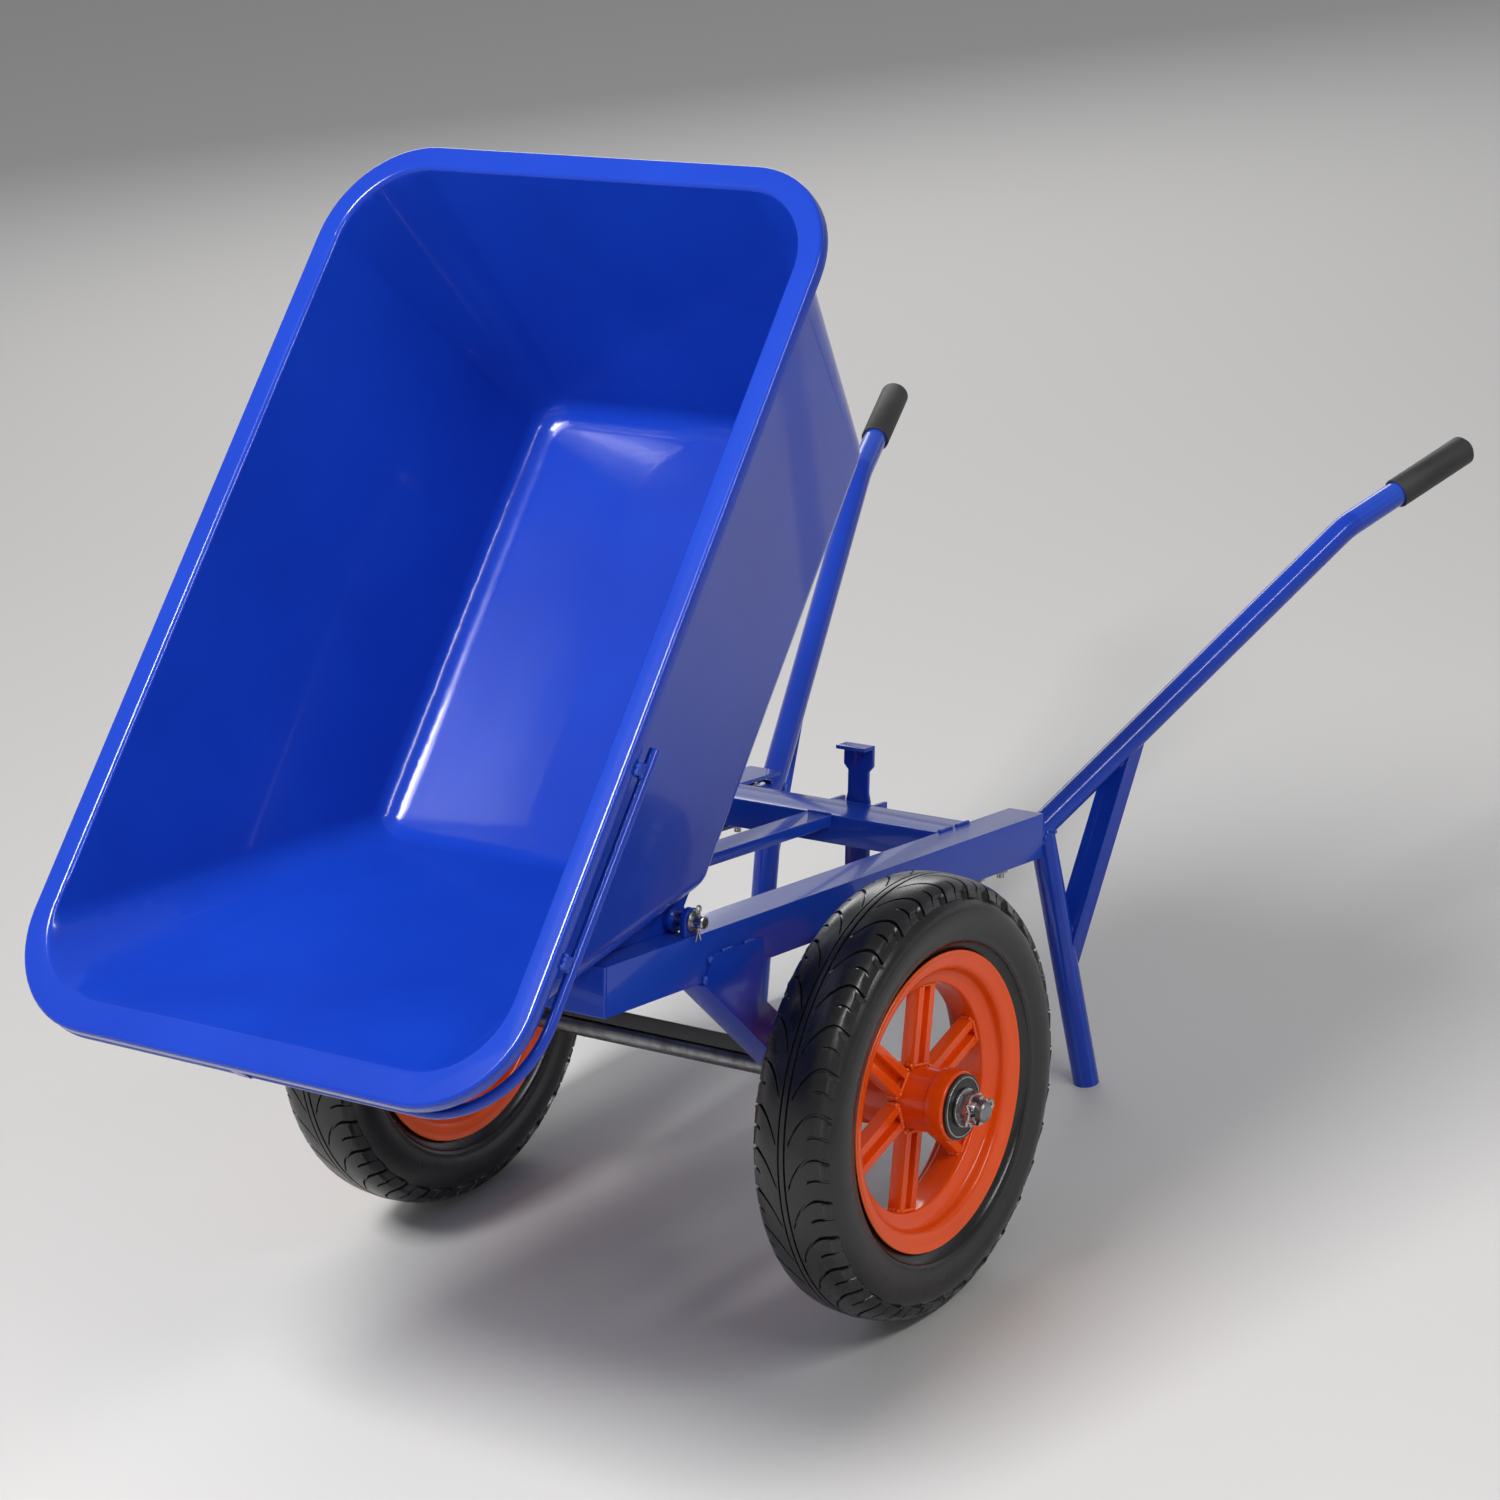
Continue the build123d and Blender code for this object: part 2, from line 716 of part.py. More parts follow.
def hinge_arm():
    """A bent plate under the tray that carries the pivot, with a strip along the sheet."""
    outside = tub(tray_sheet + seat)
    inner_face = arm_y - arm_wall / 2
    with BuildPart() as piece:
        with BuildSketch(Plane.XZ.offset(-inner_face)):
            with BuildLine():
                Polyline(
                    arm_front,
                    arm_foot,
                    (pivot_s, pivot_t),
                    (pivot_s, pivot_t - knuckle_r),
                    (pivot_s + arm_reach - 14, pivot_t - knuckle_r),
                    (pivot_s + arm_reach, pivot_t - knuckle_r + 10),
                    (pivot_s + arm_reach, -tray_depth + 20),
                    (tray_floor_front + 30, -tray_depth + 40),
                    in_tray(rail_front, rail_top + 45),
                    close=True,
                )
            make_face()
            with Locations((pivot_s, pivot_t)):
                Circle(knuckle_r)
        extrude(amount=-arm_wall)
        with BuildSketch(Plane.XZ.offset(-(arm_y - knuckle_length / 2))):
            with Locations((pivot_s, pivot_t)):
                Circle(knuckle_r)
        extrude(amount=-knuckle_length)
        # strip: the part of a thicker skin round the tray that lies inside the plate
        with BuildPart(mode=Mode.PRIVATE) as strip:
            add(tub(tray_sheet + seat + arm_strip_wall))
            front_s = arm_front[0]
            rear_s = pivot_s + arm_reach - 20
            with Locations(
                ((front_s + rear_s) / 2, inner_face - arm_strip / 2 + 1, -tray_depth)
            ):
                Box(
                    rear_s - front_s,
                    arm_strip + 2,
                    2 * (arm_front[1] + tray_depth),
                    mode=Mode.INTERSECT,
                )
        add(strip)
        add(outside, mode=Mode.SUBTRACT)
        with Locations(Location((pivot_s, 0, pivot_t), (90, 0, 0))):
            Cylinder(pivot_d / 2 + run_fit, 4 * arm_y, mode=Mode.SUBTRACT)
    return piece


for word, side in sides:
    keep(hinge_arm(), f"{word}_hinge_arm", side, tray_turn)

# the keeper stands out from the rear wall at the height of the latch when the tray is level
level_x = pivot_s - pivot[0]
level_z = pivot_t - pivot[1]
keeper_s = latch_x - latch_nose + 8 + level_x
keeper_t = latch_top - latch_lip_wall - 1 + level_z
wall_s = tray_floor_rear + rear_run * (keeper_t + 25 + tray_depth) + tray_sheet + keeper_wall
with BuildPart() as tray_keeper:
    with BuildSketch(Plane.XZ.offset(-keeper_width / 2)):
        with BuildLine():
            Polyline(
                (keeper_s, keeper_t),
                (keeper_s, keeper_t - keeper_wall),
                (tray_floor_rear - 20, keeper_t - keeper_wall),
                (tray_floor_rear - 20, keeper_t + 45),
                (wall_s + 20 * rear_run, keeper_t + 45),
                (wall_s - 25 * rear_run, keeper_t),
                close=True,
            )
        make_face()
    extrude(amount=keeper_width)
    add(tub(tray_sheet + seat), mode=Mode.SUBTRACT)
keep(tray_keeper, "tray_keeper", place=tray_turn)


# ---------------------------------------------------------------- latch
web_x = rear_member_rear + seat
ear_outer = latch_ear_gap / 2 + latch_ear_wall
with BuildPart() as latch_bracket:
    with BuildSketch(Plane.XY.offset(latch_z - 8)):
        with Locations(((web_x + latch_x + 12) / 2, 0)):
            Rectangle(latch_x + 12 - web_x, 2 * ear_outer)
        with Locations(((web_x + 3 + latch_x + 20) / 2, 0)):
            Rectangle(latch_x + 17 - web_x, latch_ear_gap, mode=Mode.SUBTRACT)
    extrude(amount=rail_top - latch_z + 8)
    with Locations(Location((latch_x, 0, latch_z), (90, 0, 0))):
        Cylinder(latch_pin_d / 2 + slip, 4 * ear_outer, mode=Mode.SUBTRACT)
keep(latch_bracket, "latch_bracket")

with BuildPart() as latch_pin:
    with Locations(Location((latch_x, 0, latch_z), (90, 0, 0))):
        Cylinder(latch_pin_d / 2, 2 * ear_outer + 8)
        for way in (-1, 1):
            with Locations((0, 0, way * (ear_outer + seat + 1.5))):
                Cylinder(latch_pin_d / 2 + 3, 3)
keep(latch_pin, "latch_pin")

coil_y = latch_width / 2 + 0.6 + spring_wire / 2
coil_r = latch_pin_d / 2 + spring_wire / 2 + seat
coil_pitch = spring_wire + 0.15
coil_end = spring_turns * coil_pitch
with BuildPart() as latch_spring:
    with BuildLine() as coil:
        Spline(
            *[(coil_r, -drop, 0) for drop in (spring_leg, 34, 22, 12, 5)],
            *[
                (
                    coil_r * cos(radians(turn)),
                    coil_r * sin(radians(turn)),
                    coil_pitch * turn / 360,
                )
                for turn in range(0, 360 * spring_turns + 1, 20)
            ],
            (coil_r, 3, coil_end),
            (coil_r, 7, coil_end),
        )
    with BuildSketch(Plane(coil.line @ 0, z_dir=coil.line % 0)):
        Circle(spring_wire / 2)
    sweep(path=coil.line)
coil_place = Location((latch_x, coil_y, latch_z), (-90, 0, 0))
keep(latch_spring, "latch_spring", place=coil_place)

waist_low, waist_high = latch_z + 22, latch_top - 28
with BuildPart() as latch_lever:
    with BuildSketch(Plane.YZ.offset(latch_x - latch_wall / 2)):
        with BuildLine():
            right = [
                (latch_width / 2 - 4, latch_foot),
                (latch_width / 2, latch_foot + 4),
                (latch_width / 2, waist_low - 8),
                (latch_waist / 2, waist_low),
                (latch_waist / 2, waist_high),
                (latch_head / 2, waist_high + 6),
                (latch_head / 2, latch_top),
            ]
            Polyline(*right, *[(-y, z) for y, z in reversed(right)], close=True)
        make_face()
    extrude(amount=latch_wall)
    with Locations(
        (latch_x - latch_nose / 2 + latch_wall / 4, 0, latch_top - latch_lip_wall / 2)
    ):
        Box(latch_nose + latch_wall / 2, latch_head, latch_lip_wall)
    with Locations(Location((latch_x, 0, latch_z), (90, 0, 0))):
        Cylinder(7, latch_width)
        Cylinder(latch_pin_d / 2 + run_fit, 2 * latch_width, mode=Mode.SUBTRACT)
keep(latch_lever, "latch_lever")


# ---------------------------------------------------------------- wheels
def turned(points):
    """A ring turned about Y from points given as (distance along Y, radius)."""
    with BuildPart() as piece:
        with BuildSketch(Plane.XY):
            with BuildLine():
                Polyline(*[(r, a) for a, r in points], close=True)
            make_face()
        revolve(axis=Axis.Y)
    return piece


def both_ways(points):
    """A profile drawn from the middle outwards, completed on the other side."""
    return [(-a, r) for a, r in reversed(points) if a > 0] + points


rim_r = rim_d / 2
bead_r = bead_d / 2
well_r = bead_r - 15
rim_edge = rim_half_width + 1
rim_outer = both_ways(
    [
        (0, well_r),
        (13, well_r),
        (19, bead_r - 0.5),
        (29, bead_r),
        (30.5, bead_r + 3.5),
        (31, rim_r - 4.5),
        (34, rim_r - 0.7),
        (rim_edge, rim_r),
    ]
)
rim_inner = both_ways(
    [
        (0, well_r - rim_sheet),
        (14.8, well_r - rim_sheet),
        (21, bead_r - 0.7 - rim_sheet),
        (30.5, bead_r - rim_sheet),
        (33.4, bead_r + 1),
        (34.2, rim_r - 5.5),
        (rim_edge, rim_r - 3),
    ]
)
valve_turn = spoke_turn - 90
inner_tube_top = wheel_d / 2 - tyre_wall - seat
inner_tube_foot = bead_r + 2.3
valve_top = inner_tube_foot - seat


def rim():
    """A drop-centre rim rolled from one sheet, with a hole for the valve."""
    with BuildPart() as piece:
        add(turned(rim_outer + rim_inner[::-1]))
        with Locations(Location((0, 0, 0), (0, valve_turn, 0))):
            with Locations((0, 0, well_r)):
                Cylinder(valve_d / 2 + slip, 30, mode=Mode.SUBTRACT)
    return piece


def spokes():
    """Pressed spokes from the hub to the rim: two ridges with a groove between them."""
    ridge = (spoke_width - spoke_groove) / 2
    hollow = ridge - 2 * spoke_wall
    top = spoke_depth / 2
    with BuildPart() as piece:
        with BuildSketch(Plane(origin=(0, spoke_face - top, 0), z_dir=(0, 0, 1))):
            Rectangle(spoke_width, spoke_depth)
            with Locations((0, top - spoke_groove_depth / 2)):
                Rectangle(spoke_groove, spoke_groove_depth, mode=Mode.SUBTRACT)
            with Locations((0, -spoke_groove_depth - spoke_wall)):
                Rectangle(spoke_width - 2 * spoke_wall, spoke_depth, mode=Mode.SUBTRACT)
            for way in (-1, 1):
                with Locations((way * (spoke_groove + ridge) / 2, -spoke_wall)):
                    Rectangle(hollow, spoke_depth, mode=Mode.SUBTRACT)
        extrude(amount=rim_r)
        with Locations(Location((0, 0, 0), (90, 0, 0))):
            Cylinder(hub_d / 2 + seat, wheel_d, mode=Mode.SUBTRACT)
            Cylinder(well_r - rim_sheet - seat, wheel_d, mode=Mode.INTERSECT)
    with BuildPart() as ring:
        for turn in range(spoke_count):
            add(piece.part.rotate(Axis.Y, spoke_turn + turn * 360 / spoke_count))
    return ring


def hub():
    """A barrel with a collar at each end and a seat for a ball bearing in each collar."""
    seat_a = hub_length / 2 - bearing_width - slip
    outer = both_ways(
        [
            (0, hub_d / 2),
            (hub_length / 2 - hub_collar_length, hub_d / 2),
            (hub_length / 2 - hub_collar_length + 1.5, hub_collar_d / 2),
            (hub_length / 2 - 1.5, hub_collar_d / 2),
            (hub_length / 2, hub_collar_d / 2 - 1.5),
        ]
    )
    inner = both_ways(
        [
            (0, bearing_od / 2 - 2.5),
            (seat_a, bearing_od / 2 - 2.5),
            (seat_a, bearing_od / 2 + run_fit),
            (hub_length / 2, bearing_od / 2 + run_fit),
        ]
    )
    return turned(outer + inner[::-1])


def bearings():
    """Two ball bearings, each an outer ring, an inner ring and its balls."""
    ball_r = 2.7
    path_r = (axle_d / 2 + bearing_od / 2) / 2
    with BuildPart() as piece:
        for way in (-1, 1):
            middle = way * (hub_length / 2 - bearing_width / 2)
            for low, high in (
                (axle_d / 2 + run_fit, path_r - ball_r - run_fit),
                (path_r + ball_r + run_fit, bearing_od / 2),
            ):
                with BuildSketch(Plane.XZ.offset(-(middle - bearing_width / 2))):
                    Circle(high)
                    Circle(low, mode=Mode.SUBTRACT)
                extrude(amount=-bearing_width)
            for turn in range(8):
                with Locations(Location((0, middle, 0), (0, 45 * turn, 0))):
                    with Locations((path_r, 0, 0)):
                        Sphere(ball_r)
    return piece


def hub_seals():
    """A dust disc pressed on each end of the hub."""
    with BuildPart() as piece:
        for way in (-1, 1):
            with BuildSketch(Plane.XZ.offset(-way * (hub_length / 2 + slip))):
                Circle(hub_d / 2 + 1)
                Circle(axle_d / 2 + air, mode=Mode.SUBTRACT)
            extrude(amount=-way * (seal_wall - slip))
    return piece


def tyre():
    """A hollow pneumatic tyre with its beads seated on the rim."""
    tread_r = wheel_d / 2
    half = tyre_width / 2
    outer = [
        (33.4, rim_r + 2.5),
        (half - 5.5, rim_r + 13),
        (half - 0.8, rim_r + 26),
        (half - 1.2, tread_r - 32),
        (half - 5.5, tread_r - 17),
        (half - 14, tread_r - 7),
        (half - 27, tread_r - 1.8),
        (0, tread_r),
    ]
    inner = [
        (27.0, bead_r + 13.5),
        (33.5, bead_r + 21.5),
        (half - tyre_wall, rim_r + 21),
        (half - tyre_wall - 0.6, tread_r - 31),
        (half - tyre_wall - 5, tread_r - 20),
        (half - tyre_wall - 13, tread_r - 12.6),
        (half - tyre_wall - 24, tread_r - tyre_wall - 1.2),
        (0, tread_r - tyre_wall),
    ]
    bead = [
        (22.0, bead_r + 7),
        (22.0, bead_r + 0.3),
        (28.0, bead_r + 0.3),
        (29.6, bead_r + 4.0),
        (30.2, rim_r - 4.5),
        (32.2, rim_r - 0.4),
    ]
    with BuildPart() as piece:
        with BuildSketch(Plane.XY):
            with BuildLine():
                Spline(*[(r, a) for a, r in outer + [(-a, r) for a, r in outer[-2::-1]]])
                Spline(*[(r, a) for a, r in inner + [(-a, r) for a, r in inner[-2::-1]]])
                for way in (-1, 1):
                    ends = [inner[0], *bead, outer[0]]
                    Polyline(*[(r, way * a) for a, r in ends])
            make_face()
        revolve(axis=Axis.Y)
    return piece


def inner_tube():
    """A thin ring of rubber that holds the air."""
    rise = (inner_tube_top - inner_tube_foot) / 2
    half = min(tyre_width / 2 - tyre_wall - 2.5, rise)
    with BuildPart() as piece:
        with BuildSketch(Plane.XY):
            with Locations(((inner_tube_top + inner_tube_foot) / 2, 0)):
                Ellipse(rise, half)
                Ellipse(rise - inner_tube_wall, half - inner_tube_wall, mode=Mode.SUBTRACT)
        revolve(axis=Axis.Y)
    return piece


def valve_stem():
    """A valve from the inner tube through the rim, with its cap."""
    stem_foot = well_r - 22
    with BuildPart() as piece:
        with Locations(Location((0, 0, 0), (0, valve_turn, 0))):
            with Locations((0, 0, stem_foot)):
                Cylinder(
                    valve_d / 2,
                    valve_top - stem_foot,
                    align=(Align.CENTER, Align.CENTER, Align.MIN),
                )
                Cylinder(
                    valve_d / 2 + 1, 9, align=(Align.CENTER, Align.CENTER, Align.MIN)
                )
    return piece


for word, side in sides:
    place = Location((0, wheel_y, 0))
    for name, make in (
        ("tyre", tyre),
        ("inner_tube", inner_tube),
        ("rim", rim),
        ("spokes", spokes),
        ("hub", hub),
        ("bearings", bearings),
        ("hub_seals", hub_seals),
        ("valve_stem", valve_stem),
    ):
        keep(make(), f"{word}_{name}", side, place)


# ---------------------------------------------------------------- standing, and files
os.makedirs("parts", exist_ok=True)
stand = Location((0, 0, axle_height), (0, stand_angle, 0))
standing = [body.moved(stand) for body in finished]
boxes = [body.bounding_box() for body in standing]
middle_x = (min(box.min.X for box in boxes) + max(box.max.X for box in boxes)) / 2
for body, piece in zip(finished, standing):
    placed = piece.moved(Location((-middle_x, 0, 0)))
    placed.label = body.label
    export_step(placed, f"parts/{body.label}.step")
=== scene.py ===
# %% [markdown]
# # A two-wheeled tipping barrow
# The real barrow is a pressed steel tray on a welded channel frame, with two pneumatic
# wheels. The parts of model.glb are loaded first and stay as they are. Every finished piece is
# modelled around them and rides on the same moving body.

# %% Load the barrow
import json
from math import atan2, cos, pi, radians, sin

import bmesh
import bpy
from mathutils import Matrix, Vector, noise


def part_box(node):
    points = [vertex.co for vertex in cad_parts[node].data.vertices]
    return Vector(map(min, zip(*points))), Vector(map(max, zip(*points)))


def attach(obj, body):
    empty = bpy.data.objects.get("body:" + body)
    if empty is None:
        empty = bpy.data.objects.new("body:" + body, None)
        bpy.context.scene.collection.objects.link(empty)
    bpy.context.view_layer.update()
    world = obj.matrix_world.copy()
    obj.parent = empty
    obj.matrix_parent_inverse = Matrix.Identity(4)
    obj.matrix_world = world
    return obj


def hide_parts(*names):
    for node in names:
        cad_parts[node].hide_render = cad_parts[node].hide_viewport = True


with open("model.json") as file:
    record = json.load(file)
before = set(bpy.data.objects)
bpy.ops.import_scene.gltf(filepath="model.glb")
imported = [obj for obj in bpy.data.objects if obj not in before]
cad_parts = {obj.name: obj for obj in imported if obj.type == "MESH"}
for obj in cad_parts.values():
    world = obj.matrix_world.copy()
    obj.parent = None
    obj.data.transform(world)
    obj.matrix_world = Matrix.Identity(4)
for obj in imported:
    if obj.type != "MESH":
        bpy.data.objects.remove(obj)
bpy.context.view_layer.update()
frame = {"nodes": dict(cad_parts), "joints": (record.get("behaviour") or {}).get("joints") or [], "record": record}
nodes = frame["nodes"]
joints = {joint["name"]: joint for joint in frame["joints"]}

# %% [markdown]
# ## Where things are
# A piece is easiest to place from the places that are already known: the axle's middle,
# the middles of the wheels, the lip of the tray and the lean of the chassis. The middles
# come from the joints and from the boxes of the parts, so they aren't typed twice.

# %% Places and directions of the barrow
axle_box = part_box("axle")
axle_middle = Vector([(low + high) / 2 for low, high in zip(*axle_box)])
wheel_middle = {
    side: Vector(joints[f"{side}_wheel_spin"]["pos_m"]) for side in ("left", "right")
}
chassis_pitch, tray_tip = 12.6, 55.6
lean = radians(chassis_pitch)
tray_lean = radians(chassis_pitch - tray_tip)
chassis = Matrix.Translation(axle_middle) @ Matrix.Rotation(lean, 4, "Y")
tray_lip = chassis @ Vector((-0.621, 0, 0.126))
tray_axes = Matrix.Translation(tray_lip) @ Matrix.Rotation(tray_lean, 4, "Y")
print("axle at", axle_middle[:], "tray lip at", tray_lip[:])

# %% [markdown]
# ## Paint, metal and rubber
# A painted steel sheet is never one flat colour. The film is a little thicker in some
# places, and it has the fine ripple that painters call orange peel. Its sharp edges are given
# a paler colour: a painted highlight, which also stands for thinner paint there. The effects
# are made once, as node groups, and every paint uses them with its own values. The shader
# itself stays in each material.


# %% A group and its named sockets
def new_group(name, inputs, outputs):
    """A shader node group with number or colour inputs and outputs."""
    group = bpy.data.node_groups.new(name, "ShaderNodeTree")
    for label, kind, value in inputs:
        socket = group.interface.new_socket(
            name=label, in_out="INPUT", socket_type=kind
        )
        socket.default_value = value
    for label, kind in outputs:
        group.interface.new_socket(name=label, in_out="OUTPUT", socket_type=kind)
    entry = group.nodes.new("NodeGroupInput")
    leave = group.nodes.new("NodeGroupOutput")
    return group, entry, leave


def add_node(tree, kind, **settings):
    """A node with its settings; names of sockets have spaces where the keys have __."""
    node = tree.nodes.new(kind)
    for key, value in settings.items():
        if hasattr(node, key):
            setattr(node, key, value)
        else:
            node.inputs[key.replace("__", " ")].default_value = value
    return node


NUMBER, COLOUR = "NodeSocketFloat", "NodeSocketColor"


# %% [markdown]
# The paint film mixes a deeper tone into the paint in broad soft clouds. Two sizes of noise
# make the ripple: a broad one for the sheet's own waviness and a fine one for the orange
# peel. Pointiness, which is high on convex edges, mixes a paler colour in there: a painted
# highlight, which also stands for thinner paint.


# %% Paint film group
def make_paint_film():
    group, entry, leave = new_group(
        "paint_film",
        [
            ("Paint", COLOUR, (0.5, 0.5, 0.5, 1)),
            ("Deep Tone", COLOUR, (0.2, 0.2, 0.2, 1)),
            ("Thin Edge Highlight", COLOUR, (0.8, 0.8, 0.8, 1)),
            ("Gloss", NUMBER, 0.2),
            ("Edge Amount", NUMBER, 0.3),
        ],
        [("Colour", COLOUR), ("Roughness", NUMBER), ("Height", NUMBER)],
    )
    tree, link = group, group.links.new
    place = add_node(tree, "ShaderNodeTexCoord")
    clouds = add_node(tree, "ShaderNodeTexNoise", Scale=5.0, Detail=3.0, Roughness=0.5)
    peel = add_node(tree, "ShaderNodeTexNoise", Scale=420.0, Detail=2.0, Roughness=0.5)
    wave = add_node(tree, "ShaderNodeTexNoise", Scale=16.0, Detail=1.0, Roughness=0.4)
    specks = add_node(tree, "ShaderNodeTexNoise", Scale=1400.0, Detail=1.0)
    for texture in (clouds, peel, wave, specks):
        link(place.outputs["Object"], texture.inputs["Vector"])
    cloud_ramp = add_node(
        tree, "ShaderNodeMapRange", From__Min=0.35, From__Max=0.7, To__Max=0.55
    )
    link(clouds.outputs["Fac"], cloud_ramp.inputs["Value"])
    toned = add_node(tree, "ShaderNodeMix", data_type="RGBA")
    link(cloud_ramp.outputs["Result"], toned.inputs["Factor"])
    link(entry.outputs["Paint"], toned.inputs["A"])
    link(entry.outputs["Deep Tone"], toned.inputs["B"])
    shape = add_node(tree, "ShaderNodeNewGeometry")
    # painted highlight: convex edges get a paler colour, which also stands for thinner paint
    edge = add_node(tree, "ShaderNodeMapRange", From__Min=0.53, From__Max=0.62)
    link(shape.outputs["Pointiness"], edge.inputs["Value"])
    edge_amount = add_node(tree, "ShaderNodeMath", operation="MULTIPLY")
    link(edge.outputs["Result"], edge_amount.inputs[0])
    link(entry.outputs["Edge Amount"], edge_amount.inputs[1])
    thinned_and_highlighted = add_node(tree, "ShaderNodeMix", data_type="RGBA")
    link(edge_amount.outputs["Value"], thinned_and_highlighted.inputs["Factor"])
    link(toned.outputs["Result"], thinned_and_highlighted.inputs["A"])
    link(entry.outputs["Thin Edge Highlight"], thinned_and_highlighted.inputs["B"])
    link(thinned_and_highlighted.outputs["Result"], leave.inputs["Colour"])
    dulled = add_node(
        tree, "ShaderNodeMapRange", From__Min=0.3, From__Max=0.7, To__Max=0.07
    )
    link(specks.outputs["Fac"], dulled.inputs["Value"])
    rough = add_node(tree, "ShaderNodeMath", operation="ADD")
    link(entry.outputs["Gloss"], rough.inputs[0])
    link(dulled.outputs["Result"], rough.inputs[1])
    link(rough.outputs["Value"], leave.inputs["Roughness"])
    ripple = add_node(tree, "ShaderNodeMath", operation="MULTIPLY_ADD")
    ripple.inputs[1].default_value = 0.12
    link(peel.outputs["Fac"], ripple.inputs[0])
    link(wave.outputs["Fac"], ripple.inputs[2])
    link(ripple.outputs["Value"], leave.inputs["Height"])
    return group


paint_film = make_paint_film()
print("group made:", paint_film.name)


# %% [markdown]
# A material is a Principled shader with one group in front of it. Values that are the same
# all over, such as the coat, are set on the shader itself.


# %% Materials made from the groups
def new_material(name, group, values, height_mm, **shader_values):
    """A material whose colour, roughness and height come from a group."""
    material = bpy.data.materials.new(name)
    material.use_nodes = True
    tree = material.node_tree
    shader = next(node for node in tree.nodes if node.type == "BSDF_PRINCIPLED")
    for socket, value in shader_values.items():
        shader.inputs[socket.replace("__", " ")].default_value = value
    film = add_node(tree, "ShaderNodeGroup", node_tree=group)
    for label, value in values.items():
        film.inputs[label].default_value = value
    bump = add_node(tree, "ShaderNodeBump", Strength=1.0, Distance=height_mm / 1000)
    link = tree.links.new
    link(film.outputs["Colour"], shader.inputs["Base Color"])
    link(film.outputs["Roughness"], shader.inputs["Roughness"])
    link(film.outputs["Height"], bump.inputs["Height"])
    link(bump.outputs["Normal"], shader.inputs["Normal"])
    return material


# %% Blue paint of the frame and the tray
blue_paint = new_material(
    "blue_paint",
    paint_film,
    {
        "Paint": (0.006, 0.042, 0.4, 1),
        "Deep Tone": (0.004, 0.026, 0.3, 1),
        # paler colour on convex edges: a painted highlight, also for thinner paint
        "Thin Edge Highlight": (0.05, 0.14, 0.6, 1),
        "Gloss": 0.17,
        "Edge Amount": 0.5,
    },
    0.25,
    Coat__Weight=0.3,
    Coat__Roughness=0.04,
    Specular__IOR__Level=0.25,
)
print("paint made:", blue_paint.name)

# %% Orange and dark paint
orange_paint = new_material(
    "orange_paint",
    paint_film,
    {
        "Paint": (0.86, 0.088, 0.003, 1),
        "Deep Tone": (0.66, 0.052, 0.002, 1),
        # paler colour on convex edges: a painted highlight, also for thinner paint
        "Thin Edge Highlight": (0.98, 0.27, 0.04, 1),
        "Gloss": 0.2,
        "Edge Amount": 0.45,
    },
    0.25,
    Coat__Weight=0.3,
    Coat__Roughness=0.08,
    Specular__IOR__Level=0.25,
)
dark_paint = new_material(
    "dark_paint",
    paint_film,
    {
        "Paint": (0.012, 0.012, 0.014, 1),
        "Deep Tone": (0.006, 0.006, 0.008, 1),
        # paler colour on convex edges: a painted highlight, also for thinner paint
        "Thin Edge Highlight": (0.08, 0.08, 0.09, 1),
        "Gloss": 0.4,
        "Edge Amount": 0.4,
    },
    0.2,
)
print("paints made:", orange_paint.name, dark_paint.name)

# %% [markdown]
# Bare and zinc-plated steel share one group. Turned steel has fine rings round its axis, and
# plating has a soft crystal mottle. Both come from noise: squeezed along Y for the turned
# axle, and cell-like for the plating. The same group darkens the metal where grease gathers.


